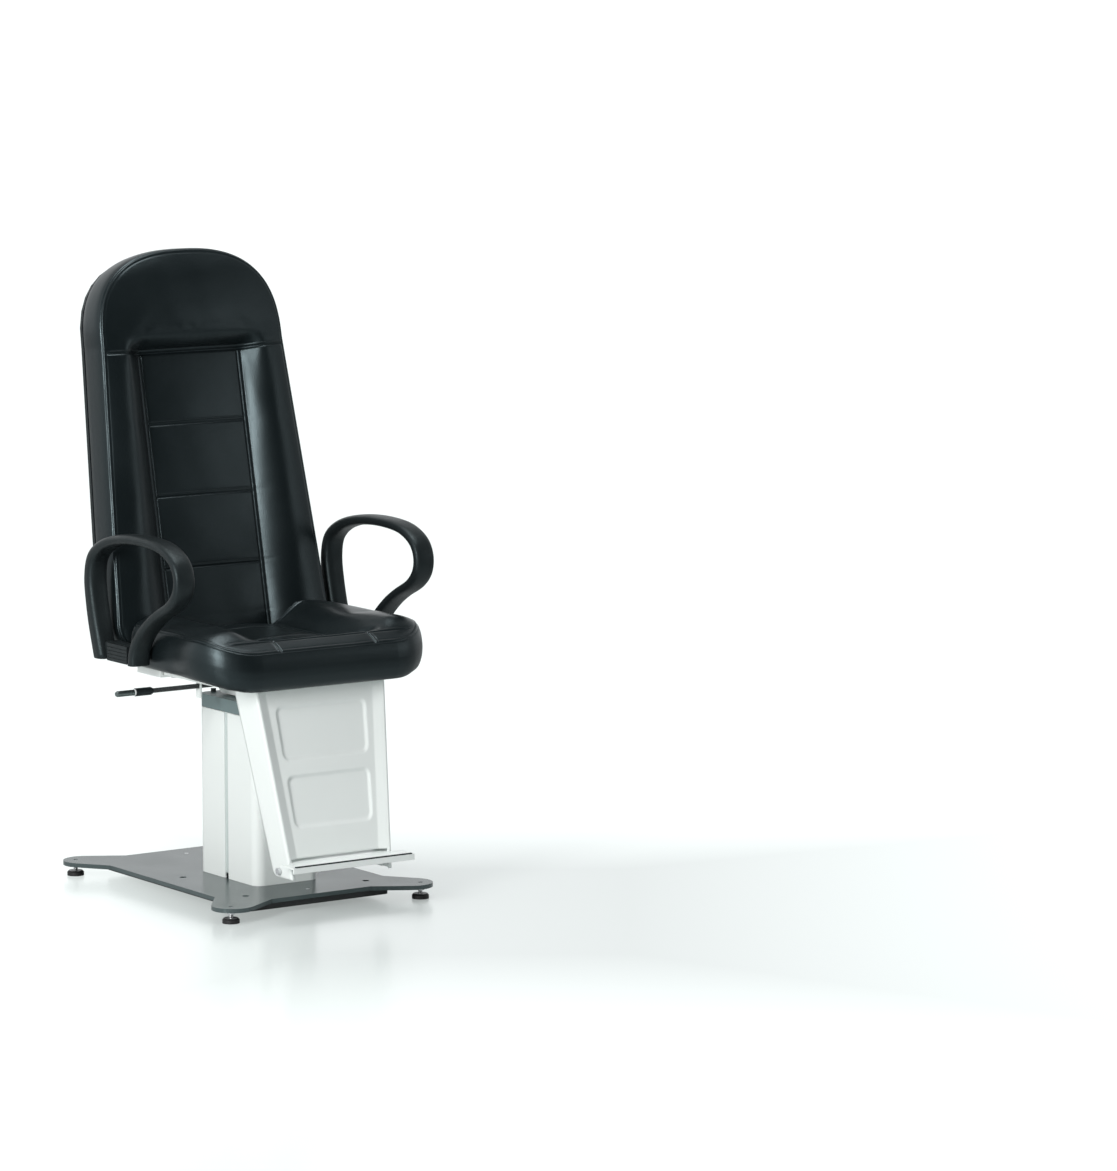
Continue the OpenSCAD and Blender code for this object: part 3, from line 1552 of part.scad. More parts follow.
// Half width of the middle panel as a share of the footrest's half width
leg_panel_share = 1 - 2 * (leg_slope_w - leg_t) / leg_top_w;

// Footplate

plate_t = 3;
plate_bolt_d = 8;
plate_bolt_head_d = 13;
plate_bolt_head_h = 5;
plate_bolt_y = 264;
plate_bolt_drop = 19;
ear_side_gap = 4;
plate_ear_t = 3;
plate_ear_h = 30;
plate_ear_back = 14;
plate_front = leg_y + (leg_z - plate_z) * tan(leg_lean) + plate_d;
plate_step = 0.8;
strip_w = 252;
strip_d = 5;
strip_h = 2;
// Distance of the footplate's bolts below the footrest's top, along it
plate_bolt_down = (leg_z - plate_z + plate_bolt_drop) * cos(leg_lean)
    + (plate_bolt_y - leg_y) * sin(leg_lean);
plate_bolt_gap = 0.3;
ear_x = leg_half(plate_bolt_down) - leg_t - ear_side_gap;

module plate_bolt_places() {
    for (x = [-1, 1])
        translate([x * ear_x, -plate_bolt_y, plate_z - plate_bolt_drop]) children();
}

module footplate() {
    color(white_paint)
        difference() {
            union() {
                translate([0, -plate_front + (plate_d - plate_step) / 2, plate_z - plate_t])
                    post(plate_w, plate_d - plate_step, plate_t);
                translate([0, -(plate_front + plate_bolt_y - plate_ear_back) / 2, plate_z - plate_t])
                    post(2 * ear_x, plate_front - plate_bolt_y + plate_ear_back, plate_t);
                translate([0, -plate_front + plate_t / 2, plate_z - lip_h])
                    post(plate_w, plate_t, lip_h);
                for (x = [-1, 1])
                    translate([x * (ear_x - plate_ear_t / 2), -plate_bolt_y, plate_z - plate_ear_h])
                        post(plate_ear_t, 2 * plate_ear_back, plate_ear_h);
            }
            plate_bolt_places() rod_x(plate_bolt_d / 2 + fit, 4 * plate_ear_t);
        }
}

module footplate_bolts() {
    reach = ear_side_gap + leg_t + plate_bolt_head_d / 2 * tan(leg_skew) + plate_bolt_gap;
    color(zinc)
        for (x = [-1, 1])
            translate([0, -plate_bolt_y, plate_z - plate_bolt_drop]) {
                translate([x * (ear_x - plate_ear_t + reach / 2), 0, 0])
                    rod_x(plate_bolt_d / 2, reach + 2 * plate_ear_t);
                translate([x * (ear_x + reach + plate_bolt_head_h / 2), 0, 0])
                    rod_x(plate_bolt_head_d / 2, plate_bolt_head_h);
            }
}

module footplate_strip() {
    color(black_plastic)
        translate([0, -plate_front + strip_d / 2, plate_z]) post(strip_w, strip_d, strip_h);
}

base_plate();
ballast_plate();
ballast_screws();
lock_nuts();
foot_front_left();
foot_front_right();
foot_rear_left();
foot_rear_right();
column_flange();
flange_bolts();
outer_guide_tube();
upper_glides();
front_cover();
rear_cover();
groove_strips();
cable_gland();
control_box();
drive_gearbox();
drive_motor();
drive_tube();
drive_bush();
drive_lower_pin();
lifting_screw();
drive_nut();
piston_rod();
drive_upper_pin();
inner_guide_tube();
lower_glides();
inner_sleeve();
head_plate();
column_head();
swivel_spindle();
spindle_nut();
swivel_stops();
thrust_washer();
spindle_bush();
seat_carrier();
brake_shoe();
lever_pin();
lever_rod();
lever_sleeve();
lever_ring();
lever_grip();
seat_plate();
seat_bolts();
seat_board();
seat_cushion();
arm_brackets();
arm_bolts();
arm_left();
arm_right();
arm_foot_covers();
back_uprights();
back_bolts();
back_shell();
back_cushion();
footrest_panel();
footplate();
footplate_bolts();
footplate_strip();
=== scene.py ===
import math

import bpy
import numpy as np
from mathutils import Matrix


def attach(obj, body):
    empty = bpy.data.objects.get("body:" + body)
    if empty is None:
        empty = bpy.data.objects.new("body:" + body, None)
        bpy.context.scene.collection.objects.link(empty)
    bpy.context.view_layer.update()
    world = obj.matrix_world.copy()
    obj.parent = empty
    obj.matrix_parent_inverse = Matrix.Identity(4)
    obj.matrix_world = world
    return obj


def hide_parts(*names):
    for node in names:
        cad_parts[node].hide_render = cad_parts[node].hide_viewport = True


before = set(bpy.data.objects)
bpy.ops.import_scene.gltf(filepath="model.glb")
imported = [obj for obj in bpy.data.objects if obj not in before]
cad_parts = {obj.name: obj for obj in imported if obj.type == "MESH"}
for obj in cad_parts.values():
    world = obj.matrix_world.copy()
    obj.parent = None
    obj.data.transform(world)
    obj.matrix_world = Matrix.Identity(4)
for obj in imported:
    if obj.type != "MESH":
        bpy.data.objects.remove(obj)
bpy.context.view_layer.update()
scene = bpy.context.scene


# Camera

camera = bpy.data.objects.new("camera", bpy.data.cameras.new("camera"))
scene.collection.objects.link(camera)
CAMERA_TILT, CAMERA_TURN = -0.136162, -0.607208
camera.location = (-5.3455, -8.6919, 1.9734)
camera.rotation_euler = (math.pi / 2 + CAMERA_TILT, 0, CAMERA_TURN)
camera.data.lens = 169.1
camera.data.sensor_width = 36
scene.camera = camera
scene.view_settings.view_transform = "Standard"


# Shader building


def put(tree, kind, inputs=None, **settings):
    """A node of a kind, with its settings and inputs."""
    node = tree.nodes.new("ShaderNode" + kind)
    for key, value in settings.items():
        setattr(node, key, value)
    for key, value in (inputs or {}).items():
        if isinstance(value, bpy.types.NodeSocket):
            tree.links.new(value, node.inputs[key])
        else:
            node.inputs[key].default_value = value
    return node


def blank(name):
    """A new material with its tree, its main shader and the Object coordinates."""
    material = bpy.data.materials.new(name)
    material.use_nodes = True
    tree = material.node_tree
    shader = tree.nodes["Principled BSDF"]
    place = put(tree, "TexCoord").outputs["Object"]
    return material, tree, shader, place


def rgb(r, g, b):
    return (r, g, b, 1)


def noise(tree, place, scale, detail=3, rough=0.5):
    inputs = {"Vector": place, "Scale": scale, "Detail": detail, "Roughness": rough}
    return put(tree, "TexNoise", inputs).outputs["Fac"]


def spread(tree, value, low, high, to_low, to_high):
    """A value carried from one range to another."""
    ranges = {"Value": value, "From Min": low, "From Max": high, "To Min": to_low, "To Max": to_high}
    return put(tree, "MapRange", ranges).outputs[0]


def calc(tree, operation, a, b):
    """Two values put together by a Math node."""
    return put(tree, "Math", {0: a, 1: b}, operation=operation).outputs[0]


def tint(tree, value, low, high):
    """A colour between two, by a value."""
    node = put(tree, "Mix", data_type="RGBA")
    tree.links.new(value, node.inputs[0])
    node.inputs[6].default_value = low
    node.inputs[7].default_value = high
    return node.outputs[2]


def bump(tree, height, depth, normal=None, strength=1.0):
    """A normal that follows a height, on top of another normal if there is one."""
    inputs = {"Height": height, "Distance": depth, "Strength": strength}
    if normal is not None:
        inputs["Normal"] = normal
    return put(tree, "Bump", inputs).outputs[0]


def sheen(tree, shader, value, low, high):
    """Roughness that varies a little with a value."""
    tree.links.new(spread(tree, value, 0.3, 0.7, low, high), shader.inputs["Roughness"])


def relief(tree, shader, height, depth, edge):
    """A fine relief on a surface whose sharp edges look rounded by a radius."""
    normal = put(tree, "Bevel", {"Radius": edge}, samples=4).outputs[0]
    tree.links.new(bump(tree, height, depth, normal), shader.inputs["Normal"])


def paint(name, low, high, rough, edge=0.0008, peel=0.00003, cool=(1, 1, 1)):
    """Powder coat or sheet paint: a broad faint change of colour, fine orange peel and rounded edges.
    cool colours the reflections."""
    material, tree, shader, place = blank(name)
    tree.links.new(tint(tree, noise(tree, place, 6), low, high), shader.inputs["Base Color"])
    sheen(tree, shader, noise(tree, place, 12, 1), rough - 0.02, rough + 0.02)
    shader.inputs["Specular Tint"].default_value = rgb(*cool)
    relief(tree, shader, noise(tree, place, 900, 2), peel, edge)
    return material


def metal(name, low, high, rough, brushed=(1, 1, 14)):
    """Bare metal: brush marks stretched along an axis, and a roughness that follows them."""
    material, tree, shader, place = blank(name)
    along = put(tree, "Mapping", {"Vector": place, "Scale": brushed}).outputs[0]
    marks = noise(tree, along, 260, 4, 0.6)
    tree.links.new(tint(tree, marks, low, high), shader.inputs["Base Color"])
    sheen(tree, shader, marks, rough - 0.06, rough + 0.08)
    shader.inputs["Metallic"].default_value = 1.0
    relief(tree, shader, marks, 0.00002, 0.0005)
    return material


def moulded(name, low, high, rough, grain=0.0001, scale=1100, shine=0.5):
    """Moulded plastic or rubber: a fine cell grain, and patches of slightly different sheen."""
    material, tree, shader, place = blank(name)
    tree.links.new(tint(tree, noise(tree, place, 9), low, high), shader.inputs["Base Color"])
    sheen(tree, shader, noise(tree, place, 22), rough - 0.05, rough + 0.07)
    shader.inputs["Specular IOR Level"].default_value = shine
    shader.inputs["Specular Tint"].default_value = rgb(0.76, 0.96, 1)
    cells = put(tree, "TexVoronoi", {"Vector": place, "Scale": scale}).outputs["Distance"]
    relief(tree, shader, cells, grain, 0.0006)
    return material


def leather_finish(name, low, high, rough):
    """Coated black leather: pebbles of about a millimetre, fine lines between them, soft creases
    and a slow change of sheen where hands and clothes have polished it."""
    material, tree, shader, place = blank(name)
    drift = put(tree, "TexNoise", {"Vector": place, "Scale": 60}).outputs["Color"]
    drift = put(tree, "VectorMath", {0: drift, "Scale": 0.004}, operation="SCALE").outputs[0]
    bent = put(tree, "VectorMath", {0: place, 1: drift}, operation="ADD").outputs[0]
    pebbles = put(tree, "TexVoronoi", {"Vector": bent, "Scale": 620}, feature="SMOOTH_F1").outputs["Distance"]
    fine = noise(tree, place, 1500, 2)
    creases = noise(tree, put(tree, "Mapping", {"Vector": bent, "Scale": (1, 1, 2.2)}).outputs[0], 38, 3)
    tone = noise(tree, place, 7)
    tree.links.new(tint(tree, tone, low, high), shader.inputs["Base Color"])
    sheen(tree, shader, tone, rough - 0.05, rough + 0.06)
    shader.inputs["Specular IOR Level"].default_value = 0.46
    shader.inputs["Specular Tint"].default_value = rgb(0.74, 0.94, 1)
    first = bump(tree, creases, 0.0006, strength=0.35)
    second = bump(tree, pebbles, 0.00022, first, 0.5)
    tree.links.new(bump(tree, fine, 0.00005, second, 0.5), shader.inputs["Normal"])
    return material


WHITE = paint("white_powder_coat", rgb(0.785, 0.83, 0.815), rgb(0.815, 0.86, 0.845), 0.34)
SLEEVE = paint("sleeve_paint", rgb(0.6, 0.63, 0.63), rgb(0.66, 0.69, 0.69), 0.35)
PLATE_LOW, PLATE_HIGH = rgb(0.06, 0.078, 0.08), rgb(0.068, 0.088, 0.09)
FLOOR_PLATE = paint("floor_plate_coat", PLATE_LOW, PLATE_HIGH, 0.24, peel=0.000006, cool=(0.8, 0.98, 1))
BALLAST = paint("ballast_coat", rgb(0.02, 0.023, 0.024), rgb(0.028, 0.031, 0.032), 0.45, peel=0.00006)
HEAD = paint("head_grey_coat", rgb(0.14, 0.195, 0.198), rgb(0.16, 0.218, 0.222), 0.42)
DARK_STEEL = paint("dark_steel_coat", rgb(0.025, 0.028, 0.03), rgb(0.035, 0.038, 0.04), 0.42)
ZINC = metal("zinc_plate", rgb(0.62, 0.64, 0.66), rgb(0.76, 0.77, 0.78), 0.3)
BRONZE = metal("bearing_bronze", rgb(0.58, 0.4, 0.2), rgb(0.68, 0.5, 0.27), 0.34)
GRIP = metal("lever_end_metal", rgb(0.16, 0.2, 0.2), rgb(0.24, 0.28, 0.28), 0.36, (14, 1, 1))
PLASTIC = moulded("black_plastic", rgb(0.008, 0.01, 0.011), rgb(0.013, 0.016, 0.017), 0.42, shine=0.3)
SKIN_LOW, SKIN_HIGH = rgb(0.007, 0.0095, 0.0105), rgb(0.012, 0.015, 0.016)
ARM_SKIN = moulded("arm_skin", SKIN_LOW, SKIN_HIGH, 0.38, 0.00018, 700, 0.3)
RUBBER = moulded("foot_rubber", rgb(0.012, 0.012, 0.012), rgb(0.02, 0.02, 0.02), 0.6)
STRIP = moulded("groove_plastic", rgb(0.5, 0.56, 0.55), rgb(0.56, 0.62, 0.61), 0.45, 0.00003)
RING = moulded("pale_ring_plastic", rgb(0.7, 0.72, 0.72), rgb(0.75, 0.77, 0.77), 0.4, 0.00003)
NYLON = moulded("nylon", rgb(0.68, 0.67, 0.6), rgb(0.74, 0.73, 0.66), 0.5, 0.00003)
LEATHER = leather_finish("black_leather", rgb(0.0032, 0.0052, 0.006), rgb(0.0052, 0.008, 0.009), 0.33)
THREAD_LOW, THREAD_HIGH = rgb(0.016, 0.02, 0.021), rgb(0.028, 0.033, 0.034)
THREAD = moulded("black_thread", THREAD_LOW, THREAD_HIGH, 0.6, 0.00008, 2500, 0.3)


def plywood():
    """Plywood: rings of the veneer drawn out along the board."""
    material, tree, shader, place = blank("plywood")
    along = put(tree, "Mapping", {"Vector": place, "Scale": (6, 1, 30)}).outputs[0]
    grain = noise(tree, along, 14, 6, 0.65)
    tree.links.new(tint(tree, grain, rgb(0.16, 0.1, 0.055), rgb(0.3, 0.2, 0.11)), shader.inputs["Base Color"])
    shader.inputs["Roughness"].default_value = 0.7
    tree.links.new(bump(tree, grain, 0.0002), shader.inputs["Normal"])
    return material


def foot_finish():
    """A foot in one piece: black rubber up to the pad's top, plated and threaded steel above it."""
    pad_top, blend = 0.0095, 0.0001
    material, tree, shader, place = blank("foot_rubber_and_stud")
    height = put(tree, "SeparateXYZ", {"Vector": place}).outputs["Z"]
    stud = spread(tree, height, pad_top - blend, pad_top + blend, 0.0, 1.0)
    rubber, steel = rgb(0.014, 0.014, 0.015), rgb(0.66, 0.67, 0.68)
    tree.links.new(tint(tree, stud, rubber, steel), shader.inputs["Base Color"])
    tree.links.new(stud, shader.inputs["Metallic"])
    tree.links.new(spread(tree, stud, 0, 1, 0.55, 0.28), shader.inputs["Roughness"])
    threads = put(tree, "TexWave", {"Vector": place, "Scale": 125.0}, bands_direction="Z").outputs["Fac"]
    tree.links.new(bump(tree, calc(tree, "MULTIPLY", threads, stud), 0.0004), shader.inputs["Normal"])
    return material


FINISHES = {
    FLOOR_PLATE: "base_plate",
    BALLAST: "ballast_plate",
    ZINC: "ballast_screws lock_nuts column_flange flange_bolts outer_guide_tube drive_tube drive_lower_pin "
    "lifting_screw piston_rod drive_upper_pin inner_guide_tube head_plate swivel_spindle spindle_nut "
    "lever_pin seat_bolts arm_bolts back_bolts footplate_bolts",
    WHITE: "front_cover rear_cover seat_carrier seat_plate footplate footrest_panel arm_brackets",
    SLEEVE: "inner_sleeve",
    HEAD: "column_head",
    STRIP: "groove_strips",
    NYLON: "upper_glides lower_glides drive_bush",
    PLASTIC: "cable_gland control_box lever_sleeve arm_foot_covers back_shell footplate_strip",
    DARK_STEEL: "drive_gearbox drive_motor back_uprights lever_rod",
    RUBBER: "swivel_stops",
    BRONZE: "drive_nut thrust_washer spindle_bush brake_shoe",
    RING: "lever_ring",
    GRIP: "lever_grip",
    foot_finish(): "foot_front_left foot_front_right foot_rear_left foot_rear_right",
    plywood(): "seat_board",
}
for finish, names in FINISHES.items():
    for node_name in names.split():
        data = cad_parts[node_name].data
        data.materials.clear()
        data.materials.append(finish)


# Surfaces


def curve_through(points, per):
    """A smooth line through points: between two of them it is the cubic whose slope at each point
    is half the step between that point's neighbours. per is the number of steps between two points."""
    p = np.asarray(points, float)
    n = len(p) - 1
    i = np.repeat(np.arange(n), per)
    k = np.tile(np.arange(per) / per, n)[:, None]
    a, b, c, d = p[np.maximum(i - 1, 0)], p[i], p[i + 1], p[np.minimum(i + 2, n)]
    line = (2 * b + (c - a) * k + (2 * a - 5 * b + 4 * c - d) * k**2 + (3 * b - a - 3 * c + d) * k**3) / 2
    return np.vstack([line, p[-1]])


def grid_faces(rows, columns, around=False, start=0):
    """The four corners of each cell of a grid of points; around joins the last column to the first."""
    j, i = np.meshgrid(np.arange(rows - 1), np.arange(columns if around else columns - 1), indexing="ij")
    k = (i + 1) % columns
    a, b = j * columns + i, j * columns + k
    return np.stack([a, b, b + columns, a + columns], -1).reshape(-1, 4) + start


def piece(name, points, faces, finish, body, slot, smooth=True):
    """A mesh from an array of points and a list of faces, riding on a body."""
    mesh = bpy.data.meshes.new(name)
    places = np.asarray(points, float).reshape(-1, 3).tolist()
    mesh.from_pydata(places, [], [list(map(int, f)) for f in faces])
    mesh.materials.append(finish)
    mesh.polygons.foreach_set("use_smooth", [smooth] * len(mesh.polygons))
    mesh.update()
    thing = bpy.data.objects.new(name, mesh)
    scene.collection.objects.link(thing)
    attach(thing, body)
    return thing


def points_of(mesh):
    p = np.empty(len(mesh.vertices) * 3)
    mesh.vertices.foreach_get("co", p)
    return p.reshape(-1, 3)


def normals_of(mesh):
    n = np.empty(len(mesh.vertices) * 3)
    mesh.vertex_normals.foreach_get("vector", n)
    return n.reshape(-1, 3)


def finer(thing):
    """A Subdivision Surface of one level, the same in view and render."""
    rounder = thing.modifiers.new("finer", "SUBSURF")
    rounder.levels = rounder.render_levels = 1
    return thing


def smooth_step(k):
    """A soft step from 0 to 1."""
    k = np.clip(k, 0, 1)
    return k * k * (3 - 2 * k)


# Cushions

STITCH_OFF, STITCH_WIDE = 0.0068, 0.0013
SEAM_DEEP, RIM_DEEP, SEAM_WIDE = 0.0024, 0.0022, 0.0016
GATHER_DEEP, GATHER_PITCH, GATHER_CLEAR, SEAM_END, PRESSURE = 0.00035, 0.012, 0.003, 0.004, 4.0
SEAM_OFFSETS = np.array([-6.5, -4.5, -2.8, -1.4, 0, 1.4, 2.8, 4.6, 5.8, 6.8, 7.8, 9.5]) / 1000
RIM_OFFSETS = np.array([-11, -9, -7.8, -6.8, -5.8, -4.4, -2.8, -1.4, 0]) / 1000
SEAM_COLUMN, STITCH_COLUMN = (int(np.argmin(np.abs(SEAM_OFFSETS - off))) for off in (0, STITCH_OFF))


def ruled(low, high, step, seams):
    """Places from low to high a step apart, with closer ones at each seam and its row of stitches."""
    marks = [low - RIM_OFFSETS[::-1], high + RIM_OFFSETS] + [s + SEAM_OFFSETS for s in seams]
    marks = np.unique(np.round(np.concatenate(marks), 5))
    marks = marks[(marks >= low) & (marks <= high)]
    fill = []
    for at, gap in zip(marks, np.diff(marks)):
        if gap > 1.5 * step:
            fill.append(np.linspace(at, at + gap, max(2, int(round(gap / step)) + 1))[1:-1])
    return np.sort(np.concatenate([marks] + fill))


def across(panel, edge, inside, outside):
    """Places across each row: from the middle to the panel's seam, round the seam, and on to the rim."""
    squeeze = np.minimum(1, np.minimum((edge - panel) / 0.034, panel / 0.014))[:, None]
    p, e = panel[:, None], edge[:, None]
    near, far = p + SEAM_OFFSETS * squeeze, e + RIM_OFFSETS * squeeze
    first = np.linspace(0, 1, inside, endpoint=False)[None] * near[:, :1]
    k = np.linspace(0, 1, outside + 2)[1:-1][None]
    second = near[:, -1:] * (1 - k) + far[:, :1] * k
    half = np.hstack([first, near, second, far])
    return np.hstack([-half[:, :0:-1], half])


def rim_order(rows, columns):
    """Indices of a grid's outline, walked once round."""
    i = np.arange(rows * columns).reshape(rows, columns)
    return np.concatenate([i[0, :-1], i[:-1, -1], i[-1, :0:-1], i[:0:-1, 0]])


def outward(line):
    """Outward direction in the plane at each point of a closed outline."""
    d = np.roll(line, -1, 0) - np.roll(line, 1, 0)
    d /= np.linalg.norm(d, axis=1)[:, None]
    return np.stack([d[:, 1], -d[:, 0]], 1)


def to_outline(points, line):
    """Distance in the plane from each point to a closed outline."""
    a, b = line, np.roll(line, -1, 0)
    ab = b - a
    best = np.full(len(points), 1.0)
    for part in np.array_split(np.arange(len(points)), max(1, len(points) // 2000)):
        ap = points[part][:, None] - a[None]
        k = np.clip((ap * ab).sum(2) / np.maximum((ab * ab).sum(1), 1e-12), 0, 1)
        best[part] = np.linalg.norm(ap - k[..., None] * ab[None], axis=2).min(1)
    return best


def plan_of(grid):
    """A grid's outline, its outward directions, and the distance of each point to it in the plane."""
    points = grid.reshape(-1, 3)
    line = points[rim_order(*grid.shape[:2])]
    return line, outward(line[:, :2]), to_outline(points[:, :2], line[:, :2]).reshape(grid.shape[:2])


def nearest(places, place):
    """Index of the one of some places that lies nearest to a place."""
    return int(np.argmin(np.abs(places - place)))


def seam_depth(d, deep=SEAM_DEEP, wide=SEAM_WIDE):
    """Depth of a sewn seam at distance d from it, with its shallow row of stitches beside it."""
    return deep * np.exp(-((d / wide) ** 2)) + 0.3 * deep * np.exp(-(((d - STITCH_OFF) / STITCH_WIDE) ** 2))


def side_depth(share, height, plain, count):
    """Depth of the rim's seam down the loops of a side, and none on the plain loops below them."""
    side = seam_depth(share * height, RIM_DEEP)[:, None] + np.zeros(count)
    return np.concatenate([side, np.zeros((plain, count))])


def held_by(near):
    """How firmly points are sewn down, by their distance to the nearest seam."""
    return np.exp(-((np.maximum(near - 0.002, 0) / 0.006) ** 2))


def gathers(off, along, fade, clear, pitch, drift):
    """Small gathers beside a seam: waves along it that fade with the distance off it."""
    waves = np.sin(2 * np.pi * along / pitch + drift)
    return np.exp(-np.abs(off) / fade) * smooth_step(np.abs(off) / clear) * waves


def wander(u, v, size, seed):
    """A slow wavy field: the mean of sines of different directions and lengths near a size."""
    rng = np.random.default_rng(seed)
    waves, total = 9, 0
    for _ in range(waves):
        turn, length, start = rng.uniform(0, 2 * np.pi), size * rng.uniform(0.7, 1.9), rng.uniform(0, 6.3)
        total = total + np.sin(2 * np.pi * (u * np.cos(turn) + v * np.sin(turn)) / length + start)
    return total / waves


def puffed(name, points, faces, held, cap, pressure):
    """The points after Cloth with pressure has swelled the cushion between its seams. held is how
    firmly each point is sewn down, and no point moves further than its cap."""
    mesh = bpy.data.meshes.new(name + "_cloth")
    mesh.from_pydata(points.tolist(), [], [list(map(int, f)) for f in faces])
    thing = bpy.data.objects.new(name + "_cloth", mesh)
    scene.collection.objects.link(thing)
    sewn = thing.vertex_groups.new(name="sewn")
    steps, frames = 10, 20
    levels = np.round(held * steps).astype(int)
    for level in range(1, steps + 1):
        sewn.add(np.nonzero(levels == level)[0].tolist(), level / steps, "REPLACE")
    cloth = thing.modifiers.new("cloth", "CLOTH")
    s = cloth.settings
    s.quality = 6
    s.mass = 0.3
    s.tension_stiffness = s.compression_stiffness = 18
    s.shear_stiffness = 6
    s.bending_stiffness = 0.6
    s.use_pressure = True
    s.uniform_pressure_force = pressure
    s.effector_weights.gravity = 0
    s.vertex_group_mass = "sewn"
    s.pin_stiffness = 1
    cloth.collision_settings.use_collision = False
    cloth.point_cache.frame_start = 1
    cloth.point_cache.frame_end = frames
    for number in range(1, frames + 1):
        scene.frame_set(number)
    swelled = points_of(thing.evaluated_get(bpy.context.evaluated_depsgraph_get()).data)
    scene.frame_set(1)
    bpy.data.objects.remove(thing)
    bpy.data.meshes.remove(mesh)
    move = swelled - points
    far = np.linalg.norm(move, axis=1)
    print(name, "cloth moved", round(float(far.max()) * 1000, 1), "mm")
    return points + move * np.minimum(1, cap / np.maximum(far, 1e-9))[:, None]


def stitches(name, lines, body, pitch=0.0042, length=0.0028, thick=0.0005):
    """Sewn stitches along lines: at every pitch a small spindle that lies along the line."""
    centres, along = [], []
    for line in lines:
        steps = np.linalg.norm(np.diff(line, axis=0), axis=1)
        reach = np.concatenate([[0], np.cumsum(steps)])
        at = np.arange(pitch, reach[-1] - pitch / 2, pitch)
        middle = np.stack([np.interp(at, reach, line[:, k]) for k in range(3)], 1)
        ahead = np.stack([np.interp(at + pitch / 2, reach, line[:, k]) for k in range(3)], 1)
        centres.append(middle)
        along.append(ahead - middle)
    c, t = np.concatenate(centres), np.concatenate(along)
    t /= np.linalg.norm(t, axis=1)[:, None]
    side = np.cross(t, [0.31, 0.2, 0.93])
    side /= np.linalg.norm(side, axis=1)[:, None]
    up = np.cross(t, side)
    sides = 6
    turn = np.arange(sides) * 2 * np.pi / sides
    ring = np.stack([np.cos(turn), np.sin(turn)], 1)
    spans, sizes = np.array([-0.5, -0.25, 0.25, 0.5]), np.array([0.15, 1, 1, 0.15])
    last = (len(spans) - 1) * sides
    spot = (
        c[:, None, None]
        + t[:, None, None] * (spans * length)[None, :, None, None]
        + (side[:, None, None] * ring[None, None, :, :1] + up[:, None, None] * ring[None, None, :, 1:])
        * (sizes * thick)[None, :, None, None]
    )
    start = (np.arange(len(c)) * (last + sides))[:, None, None]
    faces = (grid_faces(len(spans), sides, True)[None] + start).reshape(-1, 4)
    ends = [np.arange(sides - 1, -1, -1)[None], np.arange(last, last + sides)[None]]
    ends = np.concatenate([end + start[:, 0] for end in ends])
    return piece(name, spot, faces.tolist() + ends.tolist(), THREAD, body, "black_leather")


def seam_lines(top, steps, first, last, cross_rows):
    """Lines for stitches on a grid of top points: beside the panel's seam on both sides, and across
    the panel at some rows. steps is the number of columns from the middle to the seam's own."""
    middle = top.shape[1] // 2
    seam, stitch = middle + steps + SEAM_COLUMN, middle + steps + STITCH_COLUMN
    lines = [top[first:last, stitch], top[first:last, 2 * middle - stitch]]
    return lines + [top[row, 2 * middle - seam : seam + 1] for row in cross_rows]


def cushion(name, grid, loops, held_top, top_depth, sides_depth, caps, pressure, mapped, node):
    """A closed cushion: a grid of top points, loops of points down its side and in under it, and a
    flat underside of rungs from each point of the last loop to its mirror image. It is swelled by
    Cloth, then its seams and small folds are pressed in along the surface's normals. mapped carries
    the points from the cushion's own frame to the chair's."""
    rows, columns = grid.shape[:2]
    order = rim_order(rows, columns)
    count = len(order)
    points = np.concatenate([grid.reshape(-1, 3), loops.reshape(-1, 3)])
    loop_ids = rows * columns + np.arange(len(loops) * count).reshape(len(loops), count)
    ids = np.concatenate([order[None], loop_ids])
    after = np.roll(ids, -1, 1)
    walls = np.stack([after[:-1], ids[:-1], ids[1:], after[1:]], -1).reshape(-1, 4)
    step = np.arange(count // 2)
    ahead, behind = (columns // 2 + step + 1) % count, (columns // 2 - step - 1) % count
    rungs = ids[-1][np.stack([ahead, (ahead - 1) % count, (behind + 1) % count, behind], -1)]
    under = [rungs[0, [0, 1, 3]].tolist()] + rungs[1:-1].tolist() + [rungs[-1, :3].tolist()]
    faces = grid_faces(rows, columns).tolist() + walls.tolist() + under
    held = np.concatenate([held_top.ravel(), np.ones(len(loops) * count) * 0.9])
    cap = np.concatenate([np.full(rows * columns, caps[0]), np.full(len(loops) * count, caps[1])])
    points = puffed(name, points, faces, held, cap, pressure)
    thing = piece(name, mapped(points), faces, LEATHER, "seat", "black_leather")
    press = np.concatenate([top_depth.ravel(), sides_depth.ravel()])
    shaped = points_of(thing.data) - normals_of(thing.data) * press[:, None]
    thing.data.vertices.foreach_set("co", shaped.ravel())
    thing.data.update()
    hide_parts(node)
    return finer(thing), shaped[: rows * columns].reshape(rows, columns, 3)


# Seat cushion

BOARD_Z, CUSHION_Z = 0.433, 0.4414
RIM_Z, RIM_IN, FRONT_DROP = BOARD_Z + 0.082, 0.008, 0.022
SEAT_W, WAIST_W, TAPER = 0.49, 0.474, 0.09
EDGE, ARC_Y, REAR_R = 0.09, -0.172, 0.036
REAR_Y = 0.085 - RIM_IN - REAR_R
RIM_FRONT, BORDER = ARC_Y - EDGE, 0.038
BORDER_Y = RIM_FRONT - RIM_IN + BORDER
CREST_UP, BOLSTER_H, CREST_SHARE = 0.015, 0.04, 0.6
PANEL_W, PANEL_FLARE, PANEL_CROWN, BORDER_CROWN = 0.16, 0.022, 0.005, 0.004
SIDE_H, SIDE_DRAWN, FRONT_DRAWN, FRONT_SAG = 0.07, 0.024, 0.009, 0.015
SEAT_SEAMS = (-0.106, 0.031)


def arc_drop(f):
    """How far a quarter circle has dropped at a share f of its radius."""
    return 1 - np.sqrt(np.maximum(0, 1 - f * f))


